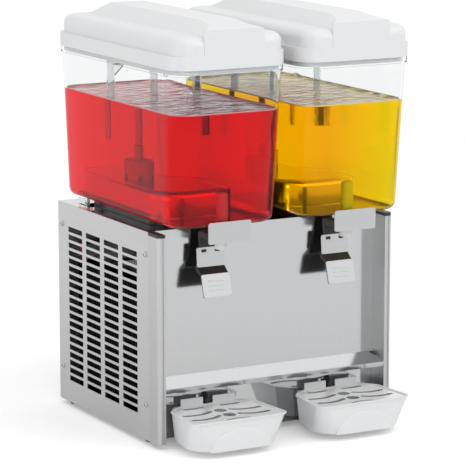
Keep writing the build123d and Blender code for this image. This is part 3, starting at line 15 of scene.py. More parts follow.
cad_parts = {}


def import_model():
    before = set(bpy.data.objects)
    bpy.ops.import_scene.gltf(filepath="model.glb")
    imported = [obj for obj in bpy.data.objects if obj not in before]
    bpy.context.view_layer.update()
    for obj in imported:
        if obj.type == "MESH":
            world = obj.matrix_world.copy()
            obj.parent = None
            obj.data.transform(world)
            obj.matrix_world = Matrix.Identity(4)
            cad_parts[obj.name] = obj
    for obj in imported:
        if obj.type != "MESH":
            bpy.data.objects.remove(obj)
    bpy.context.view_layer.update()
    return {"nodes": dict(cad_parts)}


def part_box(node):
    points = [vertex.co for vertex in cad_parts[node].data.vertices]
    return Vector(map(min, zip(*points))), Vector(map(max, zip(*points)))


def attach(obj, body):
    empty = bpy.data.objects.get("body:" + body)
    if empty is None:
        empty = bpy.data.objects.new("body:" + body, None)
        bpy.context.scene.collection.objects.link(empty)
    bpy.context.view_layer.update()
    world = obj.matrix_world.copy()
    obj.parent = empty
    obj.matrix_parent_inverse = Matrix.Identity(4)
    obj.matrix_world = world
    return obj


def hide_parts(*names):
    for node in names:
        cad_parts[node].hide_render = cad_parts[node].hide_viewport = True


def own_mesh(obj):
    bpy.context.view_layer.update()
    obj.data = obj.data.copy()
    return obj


log = logging.getLogger("juice_dispenser")

MM = 0.001
WHITE = (1.0, 1.0, 1.0, 1.0)
# Rounded edges: number of facets, and the profile that is a true arc.
EDGE_FACETS = 3
ARC_PROFILE = 0.5
# Round cords: facets about the cord, and steps in one turn of a coil.
CORD_FACETS = 12
TURN_STEPS = 48
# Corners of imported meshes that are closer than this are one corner.
WELD_MM = 0.01
# Sockets of a colour mix: its factor, its two colours and its result.
MIX_FACTOR = 0
MIX_FIRST = 6
MIX_SECOND = 7
MIX_RESULT = 2


def linear(code: str) -> tuple[float, float, float, float]:
    """Turn an sRGB hex colour into linear light.

    Args:
        code: Six hex digits.

    Returns:
        Red, green, blue and an alpha of one.
    """
    channels = []
    for start in (0, 2, 4):
        value = int(code[start:start + 2], 16) / 255
        channels.append(value / 12.92 if value <= 0.04045 else ((value + 0.055) / 1.055) ** 2.4)
    return (channels[0], channels[1], channels[2], 1.0)


def add_node(tree: bpy.types.NodeTree, kind: str, inputs: dict[Any, Any], **settings: Any) -> bpy.types.Node:
    """Add a shader node with its settings and links.

    Args:
        tree: Node tree that takes the node.
        kind: Blender's name of the node type.
        inputs: Socket names or numbers, each with a plain value or an output socket to link.
        settings: Properties of the node itself.

    Returns:
        The new node.
    """
    node = tree.nodes.new(kind)
    for name, value in settings.items():
        setattr(node, name, value)
    for socket, value in inputs.items():
        if isinstance(value, bpy.types.NodeSocket):
            tree.links.new(value, node.inputs[socket])
        else:
            node.inputs[socket].default_value = value
    return node


def add_bar(shape: bmesh.types.BMesh, size: Vector, place: Matrix, soft: float) -> None:
    """Add a bar with rounded edges.

    Args:
        shape: Bmesh that takes the bar.
        size: Its three sizes.
        place: Where its middle is and how it is turned.
        soft: Radius of its edges.
    """
    made = bmesh.ops.create_cube(shape, size=1.0, matrix=place @ Matrix.Diagonal((*size, 1.0)))
    edges = list({edge for corner in made["verts"] for edge in corner.link_edges})
    bmesh.ops.bevel(shape, geom=edges, offset=soft, segments=EDGE_FACETS, profile=ARC_PROFILE,
                    affect="EDGES", material=-1)


def add_coil(shape: bmesh.types.BMesh, foot: Vector, radius: float, thick: float, turns: int,
             rise: float) -> None:
    """Wind a round cord about an upright axis: a closed ring if it doesn't rise, else a spring.

    Args:
        shape: Bmesh that takes the coil.
        foot: Lowest point of its axis.
        radius: From its axis to the middle of its cord.
        thick: Radius of its cord.
        turns: Number of turns.
        rise: Height from the first turn's middle to the last one's.
    """
    upright = Matrix.Translation(foot + Vector((radius, 0.0, 0.0))) @ Matrix.Rotation(math.pi / 2, 4, "X")
    made = bmesh.ops.create_circle(shape, segments=CORD_FACETS, radius=thick, cap_ends=rise > 0,
                                   matrix=upright)
    cord = made["verts"] + list({edge for point in made["verts"] for edge in point.link_edges})
    steps = TURN_STEPS * turns
    bmesh.ops.spin(shape, geom=cord, cent=foot, axis=(0.0, 0.0, 1.0), dvec=(0.0, 0.0, rise / steps),
                   angle=2 * math.pi * turns, steps=steps, use_merge=rise == 0)
    bmesh.ops.holes_fill(shape, edges=shape.edges[:], sides=CORD_FACETS)


@dataclass(frozen=True)
class Finish:
    """A material: what it is made of and how its surface was made.

    Args:
        name: Common name of the material and its surface.
        colour: Main colour.
        shade: Colour at the other end of its variation.
        roughness: Middle of the roughness.
        spread: Change of roughness either way.
        grain_mm: Size of the surface pattern along X, Y and Z.
        depth_mm: Height of the surface pattern.
        metallic: One for bare metal.
        ior: Index of refraction of anything but a metal.
    """

    name: str
    colour: str
    shade: str
    roughness: float
    spread: float
    grain_mm: tuple[float, float, float]
    depth_mm: float
    metallic: float = 0.0
    ior: float = 1.5

    def place(self, tree: bpy.types.NodeTree) -> bpy.types.NodeSocket:
        """Give Object coordinates counted in grains.

        Args:
            tree: The material's node tree.

        Returns:
            The scaled coordinate.
        """
        where = add_node(tree, "ShaderNodeTexCoord", {})
        scale = Vector([1.0 / (size * MM) for size in self.grain_mm])
        grid = add_node(tree, "ShaderNodeMapping", {"Vector": where.outputs["Object"], "Scale": scale})
        return grid.outputs[0]

    def pattern(self, tree: bpy.types.NodeTree) -> bpy.types.NodeSocket:
        """Make the surface pattern, from 0 to 1.

        Args:
            tree: The material's node tree.

        Returns:
            The pattern's value.
        """
        grain = add_node(tree, "ShaderNodeTexNoise", {
            "Vector": self.place(tree), "Scale": 1.0, "Detail": 4.0, "Roughness": 0.6})
        return grain.outputs[0]

    def shade_surface(self, tree: bpy.types.NodeTree) -> bpy.types.Node:
        """Make the shader with its colour, roughness and bump.

        Args:
            tree: The material's node tree.

        Returns:
            The Principled shader.
        """
        grain = self.pattern(tree)
        tint = add_node(tree, "ShaderNodeMix", {
            MIX_FACTOR: grain, MIX_FIRST: linear(self.colour), MIX_SECOND: linear(self.shade)},
            data_type="RGBA")
        gloss = add_node(tree, "ShaderNodeMapRange", {
            "Value": grain, "To Min": self.roughness - self.spread, "To Max": self.roughness + self.spread})
        bump = add_node(tree, "ShaderNodeBump", {"Height": grain, "Distance": self.depth_mm * MM})
        shader = add_node(tree, "ShaderNodeBsdfPrincipled", {
            "Base Color": tint.outputs[MIX_RESULT], "Metallic": self.metallic, "Roughness": gloss.outputs[0],
            "Normal": bump.outputs[0]})
        if not self.metallic:
            shader.inputs["IOR"].default_value = self.ior
        return shader

    def build(self) -> bpy.types.Material:
        """Make the Blender material.

        Returns:
            The finished material.
        """
        material = bpy.data.materials.new(self.name)
        material.use_nodes = True
        tree = material.node_tree
        tree.nodes.clear()
        shader = self.shade_surface(tree)
        self.fill(tree, add_node(tree, "ShaderNodeOutputMaterial", {"Surface": shader.outputs[0]}))
        return material

    def fill(self, tree: bpy.types.NodeTree, end: bpy.types.Node) -> None:
        """Leave the body behind the surface plain.

        Args:
            tree: The material's node tree.
            end: The material's output node.
        """


@dataclass(frozen=True)
class ZincFinish(Finish):
    """Hot-dip zinc on sheet steel, with its flat crystals of different brightness."""

    def pattern(self, tree: bpy.types.NodeTree) -> bpy.types.NodeSocket:
        """Make the crystals, from 0 to 1.

        Args:
            tree: The material's node tree.

        Returns:
            One value per crystal.
        """
        cells = add_node(tree, "ShaderNodeTexVoronoi", {"Vector": self.place(tree), "Scale": 1.0})
        return add_node(tree, "ShaderNodeSeparateColor", {0: cells.outputs["Color"]}).outputs[0]


@dataclass(frozen=True)
class ClearFinish(Finish):
    """A see-through material with a faint haze.

    Args:
        clear: Share of the light that passes straight on, the rest is spread.
    """

    clear: float = 1.0

    def shade_surface(self, tree: bpy.types.NodeTree) -> bpy.types.Node:
        """Make the see-through shader.

        Args:
            tree: The material's node tree.

        Returns:
            The Principled shader.
        """
        shader = super().shade_surface(tree)
        shader.inputs["Transmission Weight"].default_value = self.clear
        return shader


@dataclass(frozen=True)
class DrinkFinish(ClearFinish):
    """Fruit drink that takes its colour from its depth.

    Args:
        dye: Colour that the drink lets through.
        strength: How much of the other light it takes, per metre.
    """

    dye: str = "FFFFFF"
    strength: float = 0.0

    def fill(self, tree: bpy.types.NodeTree, end: bpy.types.Node) -> None:
        """Put the dye into the body of the drink.

        Args:
            tree: The material's node tree.
            end: The material's output node.
        """
        dyed = add_node(tree, "ShaderNodeVolumeAbsorption", {
            "Color": linear(self.dye), "Density": self.strength})
        tree.links.new(dyed.outputs[0], end.inputs["Volume"])


@dataclass(frozen=True)
class RippleFinish(ClearFinish):
    """Moving surface of a drink where the spray falls: smooth, with long soft ripples.

    Args:
        bend: How much the ripples wind.
    """

    bend: float = 1.6

    def pattern(self, tree: bpy.types.NodeTree) -> bpy.types.NodeSocket:
        """Make the ripples, from 0 to 1.

        Args:
            tree: The material's node tree.

        Returns:
            The height of the ripples.
        """
        swirl = add_node(tree, "ShaderNodeTexNoise", {
            "Vector": self.place(tree), "Scale": 1.0, "Detail": 2.0, "Distortion": self.bend})
        return swirl.outputs[0]


# Stainless sheet, bead-blasted then brushed along its length: a soft broad sheen.
SATIN_STEEL = Finish(
    "satin stainless sheet", colour="CDCDCE", shade="C2C2C3", roughness=0.36, spread=0.05,
    grain_mm=(260.0, 260.0, 1.6), depth_mm=0.004, metallic=1.0)
# Stainless strip, ground and polished: a narrower sheen than the sheet's.
PLATE_STEEL = Finish(
    "ground stainless strip", colour="C8C9CA", shade="BDBEBF", roughness=0.3, spread=0.05,
    grain_mm=(200.0, 200.0, 1.2), depth_mm=0.003, metallic=1.0)
# Stainless sheet, polished: shows the room, with hardly any grain.
MIRROR_STEEL = Finish(
    "polished stainless sheet", colour="CACBCC", shade="C4C5C6", roughness=0.06, spread=0.015,
    grain_mm=(420.0, 420.0, 9.0), depth_mm=0.0, metallic=1.0)
# Stainless shell, bright-drawn: nearly as pale as what it shows.
BRIGHT_STEEL = Finish(
    "bright-drawn stainless shell", colour="F0F0F1", shade="E8E8EA", roughness=0.18, spread=0.04,
    grain_mm=(60.0, 60.0, 60.0), depth_mm=0.0, metallic=1.0)
# Stainless sheet with a faint upright grain: shows the room, slightly blurred.
FRONT_STEEL = Finish(
    "grained stainless sheet", colour="CBCCCD", shade="C3C4C5", roughness=0.13, spread=0.03,
    grain_mm=(1.4, 1.4, 260.0), depth_mm=0.001, metallic=1.0)
# Anodised aluminium section, drawn along its length.
ANODISED = Finish(
    "anodised aluminium section", colour="C9C9C9", shade="BCBCBD", roughness=0.36, spread=0.05,
    grain_mm=(1.2, 1.2, 300.0), depth_mm=0.004, metallic=1.0)
# ABS moulding with a fine satin texture.
WHITE_ABS = Finish(
    "white satin ABS", colour="E6E7E8", shade="E0E1E2", roughness=0.34, spread=0.06,
    grain_mm=(2.2, 2.2, 2.2), depth_mm=0.006, ior=1.5)
# Polished white moulding, whiter than the tray's white: the extra whiteness is painted light on the grille's
# lit tops.
PAINTED_LIGHT_GLOSS_WHITE = Finish(
    "glossy white ABS with painted light", colour="F4F5F6", shade="EEEFF0", roughness=0.16, spread=0.04,
    grain_mm=(6.0, 6.0, 6.0), depth_mm=0.003, ior=1.53)
# Black ABS moulding with a spark-eroded texture.
BLACK_ABS = Finish(
    "black textured ABS", colour="1E1E20", shade="262628", roughness=0.46, spread=0.08,
    grain_mm=(1.4, 1.4, 1.4), depth_mm=0.02, ior=1.53)
# Clear polycarbonate moulding. Its index is set below the real one, so that the walls stay faint.
CLEAR_PC = ClearFinish(
    "clear polycarbonate", colour="FCFDFD", shade="F8FAFA", roughness=0.02, spread=0.01,
    grain_mm=(60.0, 60.0, 60.0), depth_mm=0.002, ior=1.16)
# Natural polypropylene tube, faintly milky, with an index below the real one as well.
NATURAL_PP = ClearFinish(
    "natural polypropylene", colour="FBFCFC", shade="F4F6F6", roughness=0.12, spread=0.05,
    grain_mm=(14.0, 14.0, 14.0), depth_mm=0.004, ior=1.1, clear=0.9)
# Natural rubber moulding.
RUBBER = Finish(
    "moulded black rubber", colour="151515", shade="222222", roughness=0.8, spread=0.08,
    grain_mm=(3.0, 3.0, 3.0), depth_mm=0.03, ior=1.52)
# Drawn copper tube, dulled in the air.
COPPER = Finish(
    "drawn copper tube", colour="C07A54", shade="8E5236", roughness=0.34, spread=0.12,
    grain_mm=(18.0, 18.0, 18.0), depth_mm=0.01, metallic=1.0)
# Stoving enamel with a light orange peel.
BLACK_ENAMEL = Finish(
    "black stoving enamel", colour="141415", shade="1C1C1E", roughness=0.32, spread=0.08,
    grain_mm=(5.0, 5.0, 5.0), depth_mm=0.05, ior=1.5)
# Galvanised sheet.
ZINC = ZincFinish(
    "galvanised sheet", colour="B9BDC0", shade="8F9498", roughness=0.42, spread=0.12,
    grain_mm=(9.0, 9.0, 9.0), depth_mm=0.004, metallic=1.0)
# Sintered ferrite.
FERRITE = Finish(
    "sintered ferrite", colour="2B2B2D", shade="39393C", roughness=0.62, spread=0.1,
    grain_mm=(1.5, 1.5, 1.5), depth_mm=0.03, ior=1.6)
# Bright zinc-plated wire, pins and screws.
PLATED = Finish(
    "zinc-plated steel", colour="CFD2D6", shade="A9ADB3", roughness=0.26, spread=0.08,
    grain_mm=(6.0, 6.0, 6.0), depth_mm=0.006, metallic=1.0)
# Pale line of red foam round the drink's edge: partly real foam, partly a painted highlight of the meniscus.
RED_FOAM_AND_HIGHLIGHT = Finish(
    "red foam with painted highlight", colour="F7B6BE", shade="EE8C96", roughness=0.4, spread=0.1,
    grain_mm=(2.0, 2.0, 2.0), depth_mm=0.3, ior=1.34)
# Pale line of yellow foam round the drink's edge: partly real foam, partly a painted highlight of the
# meniscus.
YELLOW_FOAM_AND_HIGHLIGHT = Finish(
    "yellow foam with painted highlight", colour="FFF0B4", shade="FFE070", roughness=0.4, spread=0.1,
    grain_mm=(2.0, 2.0, 2.0), depth_mm=0.3, ior=1.34)
# Surface of the red drink under the spray. Its colour follows the ripples, near white on the crests and
# deeper pink in the troughs: partly foam streaks, partly painted highlights.
RED_RIPPLE = RippleFinish(
    "rippled red drink", colour="FFF0F2", shade="FF8A98", roughness=0.03, spread=0.01,
    grain_mm=(60.0, 34.0, 50.0), depth_mm=12.0, ior=1.25, clear=0.9)
# Surface of the yellow drink under the spray. Its colour follows the ripples, near white on the crests and
# deeper yellow in the troughs: partly foam streaks, partly painted highlights.
YELLOW_RIPPLE = RippleFinish(
    "rippled yellow drink", colour="FFFFE0", shade="FFE060", roughness=0.03, spread=0.01,
    grain_mm=(60.0, 34.0, 50.0), depth_mm=12.0, ior=1.25, clear=0.9)
# Cherry-coloured drink, faintly cloudy. Its index is below that of water, to suit the walls.
RED_JUICE = DrinkFinish(
    "faintly cloudy red juice", colour="FF7880", shade="FF6C74", roughness=0.01, spread=0.01,
    grain_mm=(120.0, 120.0, 260.0), depth_mm=0.0, ior=1.1, clear=0.93, dye="FC0048", strength=30.0)
# Orange-coloured drink, faintly cloudy, with the same index.
YELLOW_JUICE = DrinkFinish(
    "faintly cloudy yellow juice", colour="FFEA20", shade="FFE216", roughness=0.01, spread=0.01,
    grain_mm=(120.0, 120.0, 260.0), depth_mm=0.0, ior=1.1, clear=0.96, dye="FFFA00", strength=40.0)


class FinishShop:
    """Keeps one Blender material per finish."""

    def __init__(self) -> None:
        """Start with no materials."""
        self.made: dict[str, bpy.types.Material] = {}

    def material(self, finish: Finish) -> bpy.types.Material:
        """Give the material of a finish, made on first use.

        Args:
            finish: The finish asked for.

        Returns:
            Its material.
        """
        if finish.name not in self.made:
            self.made[finish.name] = finish.build()
        return self.made[finish.name]


class Side(Enum):
    """The two sides of the machine, as seen from the front."""

    LEFT = "left"
    RIGHT = "right"

    def node(self, name: str) -> str:
        """Give the name of this side's node.

        Args:
            name: The node's name without its side.

        Returns:
            The whole name.
        """
        return f"{self.value}_{name}"


@dataclass
class SubAssembly:
    """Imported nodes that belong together.

    Args:
        nodes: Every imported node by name.
        shop: Where materials come from.
    """

    # How far large faces keep their own shading beside a rounded edge, of 100.
    flat_weight: ClassVar[int] = 90

    nodes: dict[str, bpy.types.Object]
    shop: FinishShop

    def paint(self, finish: Finish, *names: str) -> None:
        """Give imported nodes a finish.

        Args:
            finish: The finish.
            names: The nodes.
        """
        for name in names:
            for place in self.nodes[name].material_slots:
                place.material = self.shop.material(finish)
            log.info("%s: %s", name, finish.name)

    def soften(self, radius_mm: float, sharp_deg: float, *names: str) -> None:
        """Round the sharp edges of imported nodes, as a mould leaves them.

        Args:
            radius_mm: Radius of the edges.
            sharp_deg: Least angle between two faces with a sharp edge.
            names: The nodes.
        """
        for name in names:
            node = self.nodes[name]
            node.modifiers.new("weld", "WELD").merge_threshold = WELD_MM * MM
            edge = node.modifiers.new("edge", "BEVEL")
            edge.width = radius_mm * MM
            edge.segments = EDGE_FACETS
            edge.limit_method = "ANGLE"
            edge.angle_limit = math.radians(sharp_deg)
            edge.use_clamp_overlap = False
            node.modifiers.new("shade", "WEIGHTED_NORMAL").weight = self.flat_weight

    def fit(self, name: str, shape: bmesh.types.BMesh, finish: Finish, slot: str,
            body: str) -> bpy.types.Object:
        """Turn a bmesh into a piece that rides on a body.

        Args:
            name: Name of the piece.
            shape: Its form, in the machine's frame.
            finish: Its finish.
            slot: The record's material slot; not used.
            body: The body that carries it.

        Returns:
            The new object.
        """
        bmesh.ops.recalc_face_normals(shape, faces=shape.faces)
        mesh = bpy.data.meshes.new(name)
        shape.to_mesh(mesh)
        shape.free()
        mesh.materials.append(self.shop.material(finish))
        piece = bpy.data.objects.new(name, mesh)
        bpy.context.scene.collection.objects.link(piece)
        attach(piece, body)
        log.info("%s rides on %s", name, body)
        return piece


@dataclass
class Cabinet(SubAssembly):
    """Sheet-metal cabinet, its posts, feet and screws.

    Args:
        rear_sheet_mm: Thickness of the rear sheet.
        louvre_x_mm: Distance of each group of rear louvres from the middle.
        louvre_z_mm: Height of their middle.
        screen_mm: Width, depth and height of the dust screen behind a group.
        slat_mm: Thickness of one upright slat of a screen.
        slat_pitch_mm: Distance from one slat to the next, before the slats are spread evenly.
        rail_mm: Height of the rail across each end of a screen.
    """

    rear_sheet_mm: float = 1.5
    louvre_x_mm: float = 84.0
    louvre_z_mm: float = 153.5
    screen_mm: Vector = Vector((80.0, 4.0, 166.0))
    slat_mm: float = 1.0
    slat_pitch_mm: float = 3.0
    rail_mm: float = 4.0

    def dress(self) -> None:
        """Give the cabinet its finishes."""
        self.paint(SATIN_STEEL, "left_side_panel", "right_side_panel", "rear_panel")
        self.paint(BRIGHT_STEEL, "evaporators")
        self.paint(FRONT_STEEL, "front_panel")
        self.paint(MIRROR_STEEL, "lower_front_panel", "top_deck")
        self.paint(ANODISED, "front_posts")
        self.paint(BLACK_ABS, "post_caps", "tray_catches", "cable_gland", "control_box")
        self.paint(RUBBER, "rubber_feet", "bowl_seals")
        self.paint(ZINC, "base_pan", "fan_bracket")
        self.paint(PLATED, "panel_screws")
        self.add_screens()

    def add_screens(self) -> None:
        """Hold a slatted dust screen behind each group of rear louvres."""
        width, depth, height = self.screen_mm
        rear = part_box("rear_panel")[1][1] - (self.rear_sheet_mm + depth / 2) * MM
        slat = Vector((self.slat_mm, depth, height)) * MM
        rail = Vector((width, depth, self.rail_mm)) * MM
        last = (width - self.slat_mm) / 2
        count = int(width / self.slat_pitch_mm)
        soft = slat.x / 4
        shape = bmesh.new()
        for middle in (-self.louvre_x_mm, self.louvre_x_mm):
            for step in range(count + 1):
                x = middle - last + 2 * last * step / count
                add_bar(shape, slat, Matrix.Translation((x * MM, rear, self.louvre_z_mm * MM)), soft)
            for end in (-1, 1):
                z = self.louvre_z_mm + end * (height - self.rail_mm) / 2
                add_bar(shape, rail, Matrix.Translation((middle * MM, rear, z * MM)), soft)
        self.fit("dust_screens", shape, BLACK_ABS, "black_plastic", "cabinet")


@dataclass
class CoolingPlant(SubAssembly):
    """Compressor, condenser, fan and pipes."""

    def dress(self) -> None:
        """Give the cooling parts their finishes."""
        self.paint(BLACK_ENAMEL, "compressor", "condenser", "fan_motor", "condenser_fan")
        self.paint(COPPER, "refrigerant_pipes", "evaporator_coils")
        self.paint(PLATED, "pump_motors")
        self.paint(WHITE_ABS, "pump_covers")


@dataclass
class Controls(SubAssembly):
    """Rocker switches at the back."""

    def dress(self) -> None:
        """Give the switches their finish."""
        self.paint(BLACK_ABS, "switch_frames", "left_pump_rocker", "cooling_rocker", "right_pump_rocker")


@dataclass
class BowlUnit(SubAssembly):
    """One bowl with its lid, juice, spray tube and pump.

    Args:
        side: Which of the two.
        juice: Finish of the drink in it.
        foam_and_highlight: Finish of the pale line at its edge: foam, and a painted highlight of the
            meniscus.
        surface: Finish of its rippled surface.
        slot: The record's material slot of the drink.
        corner_mm: Radius of the bowl's corners at the juice's level.
        corner_facets: Number of facets in such a corner.
        foam_and_highlight_mm: Width of the pale line of foam and painted highlight.
        wet_mm: How far the drink reaches past its own solid, into what it touches.
        film_mm: Thickness of the drink's rippled surface.
    """

    side: Side
    juice: Finish
    foam_and_highlight: Finish
    surface: Finish
    slot: str
    corner_mm: float = 32.2
    corner_facets: int = 10
    foam_and_highlight_mm: float = 1.6
    wet_mm: float = 2.6
    film_mm: float = 0.8

    def dress(self) -> None:
        """Give the bowl unit its finishes."""
        self.paint(CLEAR_PC, self.side.node("bowl"))
        self.paint(NATURAL_PP, self.side.node("spray_tube"))
        self.paint(WHITE_ABS, self.side.node("lid"), self.side.node("impeller"))
        self.paint(self.juice, self.side.node("juice"))
        self.paint(FERRITE, self.side.node("drive_magnet"))
        self.wet_walls()
        self.add_foam_and_highlight()
        self.add_surface()

    def wet_walls(self) -> None:
        """Let the drink wet whatever it touches, so that no air shows between."""
        drink = self.nodes[self.side.node("juice")]
        drink.modifiers.new("weld", "WELD").merge_threshold = WELD_MM * MM
        swell = drink.modifiers.new("wet", "DISPLACE")
        swell.mid_level = 0.0
        swell.strength = self.wet_mm * MM

    def level_sheet(self, inset_mm: float) -> bmesh.types.BMesh:
        """Make a sheet with the outline of the drink's top.

        Args:
            inset_mm: How far it stays inside that outline.

        Returns:
            The flat sheet, as far over the drink's solid as the drink is swelled.
        """
        low, high = (Vector(corner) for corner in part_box(self.side.node("juice")))
        size = high - low - Vector((2.0, 2.0, 0.0)) * inset_mm * MM
        place = Matrix.Translation(((low.x + high.x) / 2, (low.y + high.y) / 2, high.z + self.wet_mm * MM))
        shape = bmesh.new()
        bmesh.ops.create_grid(shape, x_segments=1, y_segments=1, size=0.5,
                              matrix=place @ Matrix.Diagonal((size.x, size.y, 1.0, 1.0)))
        bmesh.ops.bevel(shape, geom=shape.verts[:], offset=(self.corner_mm - inset_mm) * MM,
                        segments=self.corner_facets, profile=ARC_PROFILE, affect="VERTICES", material=-1)
        return shape

    def thicken(self, shape: bmesh.types.BMesh, thick_mm: float) -> None:
        """Give a flat sheet a thickness, half of it to either side.

        Args:
            shape: The sheet.
            thick_mm: Its thickness.
        """
        raised = bmesh.ops.extrude_face_region(shape, geom=shape.faces[:])["geom"]
        points = [item for item in raised if isinstance(item, bmesh.types.BMVert)]
        bmesh.ops.translate(shape, verts=points, vec=(0.0, 0.0, thick_mm * MM))
        bmesh.ops.translate(shape, verts=shape.verts[:], vec=(0.0, 0.0, -thick_mm * MM / 2))

    def add_foam_and_highlight(self) -> None:
        """Lay a thin pale line round the wall at the drink's level: foam, and a painted highlight of the
        meniscus.
        """
        shape = self.level_sheet(0.0)
        inside = shape.faces[:]
        bmesh.ops.inset_region(shape, faces=inside, thickness=self.foam_and_highlight_mm * MM, use_boundary=True,
                               use_even_offset=True)
        bmesh.ops.delete(shape, geom=inside, context="FACES")
        self.thicken(shape, self.foam_and_highlight_mm)
        self.fit(self.side.node("foam_and_highlight_line"), shape, self.foam_and_highlight, self.slot, self.side.node("bowl_unit"))

    def add_surface(self) -> None:
        """Cover the drink with its rippled surface."""
        shape = self.level_sheet(self.foam_and_highlight_mm)
        self.thicken(shape, self.film_mm)
        self.fit(self.side.node("juice_surface"), shape, self.surface, self.slot, self.side.node("bowl_unit"))


@dataclass
class TapUnit(SubAssembly):
    """One tap with its cover and push lever.

    Args:
        side: Which of the two.
        plate_top_mm: Upper edge of the lower push plate's face, as Y and Z.
        plate_toe_mm: Lower edge of that face, as Y and Z.
        rib_mm: Length, width and depth of a grip rib, half of it sunk in the plate.
        rib_pitch_mm: Distance between ribs.
        tap_y_mm: The tap's axis along Y.
        gasket_r_mm: Radius of the tap's gasket.
        gasket_thick_mm: Radius of the gasket's cord.
        gasket_lift_mm: Height of the gasket over the bowl's lowest edge.
        wire_mm: Radius of the spring's wire.
        spring_turns: Number of its turns.
        stroke_mm: How far the piston rises; not used.
    """

    side: Side
    plate_top_mm: tuple[float, float] = (-143.15, 276.33)
    plate_toe_mm: tuple[float, float] = (-153.15, 241.33)
    rib_mm: Vector = Vector((28.0, 2.2, 1.4))
    rib_pitch_mm: float = 7.0
    tap_y_mm: float = -162.0
    gasket_r_mm: float = 15.2
    gasket_thick_mm: float = 1.3
    gasket_lift_mm: float = 11.5
    wire_mm: float = 0.7
    spring_turns: int = 6
    stroke_mm: float = 7.5

    def dress(self) -> None:
        """Give the tap its finishes."""
        self.paint(WHITE_ABS, self.side.node("tap_body"), self.side.node("tap_piston"))
        self.paint(PLATED, self.side.node("lever_pin"))
        self.paint(PLATE_STEEL, self.side.node("tap_cover"), self.side.node("push_plates"))
        self.paint(BLACK_ABS, self.side.node("lever"))
        self.add_grip()
        self.add_gasket()
        self.add_spring()

    def middle(self, name: str) -> Vector:
        """Give the middle of a node of this side.

        Args:
            name: The node's name without its side.

        Returns:
            The middle of its box.
        """
        low, high = (Vector(corner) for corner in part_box(self.side.node(name)))
        return (low + high) / 2

    def add_grip(self) -> None:
        """Press grip ribs into the lower push plate."""
        edges = list(zip(self.plate_top_mm, self.plate_toe_mm))
        up = Vector((0.0, *(top - toe for top, toe in edges))).normalized()
        across = Vector((1.0, 0.0, 0.0))
        out = across.cross(up)
        turn = Matrix((across, up, out)).transposed().to_4x4()
        centre = Vector((0.0, *((top + toe) / 2 for top, toe in edges))) * MM
        centre.x = self.middle("push_plates").x
        shape = bmesh.new()
        for row in (-1, 0, 1):
            place = Matrix.Translation(centre + up * row * self.rib_pitch_mm * MM) @ turn
            add_bar(shape, self.rib_mm * MM, place, self.rib_mm.z * MM / 2)
        self.fit(self.side.node("grip_ribs"), shape, PLATE_STEEL, "satin_steel", self.side.node("lever_unit"))

    def add_gasket(self) -> None:
        """Squeeze a rubber ring between the tap's flange and the bowl."""
        place = self.middle("tap_body")
        place.y = self.tap_y_mm * MM
        place.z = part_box(self.side.node("bowl"))[0][2] + self.gasket_lift_mm * MM
        shape = bmesh.new()
        add_coil(shape, place, self.gasket_r_mm * MM, self.gasket_thick_mm * MM, 1, 0.0)
        self.fit(self.side.node("tap_gasket"), shape, RUBBER, "rubber", self.side.node("bowl_unit"))

    def add_spring(self) -> None:
        """Wind the tap's spring at its length at rest, in place of the imported one. The real spring shortens
        as the piston rises; this coil keeps its length.
        """
        low, high = (Vector(corner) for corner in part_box(self.side.node("tap_spring")))
        wire = self.wire_mm * MM
        length = high.z - low.z
        foot = Vector(((low.x + high.x) / 2, (low.y + high.y) / 2, low.z + wire))
        shape = bmesh.new()
        add_coil(shape, foot, (high.x - low.x) / 2 - wire, wire, self.spring_turns, length - 2 * wire)
        spring = self.fit(self.side.node("wound_spring"), shape, PLATED, "zinc_steel",
                          self.side.node("bowl_unit"))
        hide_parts(self.side.node("tap_spring"))
        self.side.node("piston_rise")
        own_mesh(spring)


@dataclass
class TrayUnit(SubAssembly):
    """One drip tray with its grille.

    Args:
        side: Which of the two.
        edge_mm: Radius of the tray's edges.
        sharp_deg: Least angle between two faces that counts as an edge.
    """

    side: Side
    edge_mm: float = 0.8
    sharp_deg: float = 34.0

    def dress(self) -> None:
        """Give the tray and grille their finishes."""
        self.paint(WHITE_ABS, self.side.node("drip_tray"))
        # The grille's whiter colour is painted light; its gloss is its own.
        self.paint(PAINTED_LIGHT_GLOSS_WHITE, self.side.node("drip_grille"))
        self.soften(self.edge_mm, self.sharp_deg, self.side.node("drip_tray"))


@dataclass(frozen=True)
class Lamp:
    """A soft rectangular lamp.

    Args:
        name: Name of the lamp.
        place_m: Where it hangs.
        width_m: Width of its face.
        height_m: Height of its face.
        watts: Its power.
    """

    name: str
    place_m: tuple[float, float, float]
    width_m: float
    height_m: float
    watts: float

    def hang(self, aim: Vector) -> None:
        """Hang the lamp and turn its face to a point.

        Args:
            aim: The point.
        """
        light = bpy.data.lights.new(self.name, "AREA")
        light.shape = "RECTANGLE"
        light.size = self.width_m
        light.size_y = self.height_m
        light.energy = self.watts
        holder = bpy.data.objects.new(self.name, light)
        holder.location = self.place_m
        holder.rotation_euler = (aim - Vector(self.place_m)).to_track_quat("-Z", "Y").to_euler()
        bpy.context.scene.collection.objects.link(holder)


# Large lamp at the front right, for the front and the lids.
KEY_LAMP = Lamp("key", place_m=(1.9, -2.3, 2.6), width_m=3.4, height_m=2.3, watts=27.0)
# Lamp on the left, for the side panel.
LEFT_LAMP = Lamp("left", place_m=(-2.8, -0.4, 0.8), width_m=2.0, height_m=1.2, watts=8.0)
# Lamp overhead, for the tops of the lids.
TOP_LAMP = Lamp("top", place_m=(-0.1, -0.9, 2.8), width_m=2.0, height_m=2.0, watts=11.0)
# Narrow upright lamp near the camera, for highlights on the bowls.
STRIP_LAMP = Lamp("strip", place_m=(-1.3, -3.4, 1.0), width_m=0.25, height_m=1.8, watts=9.0)


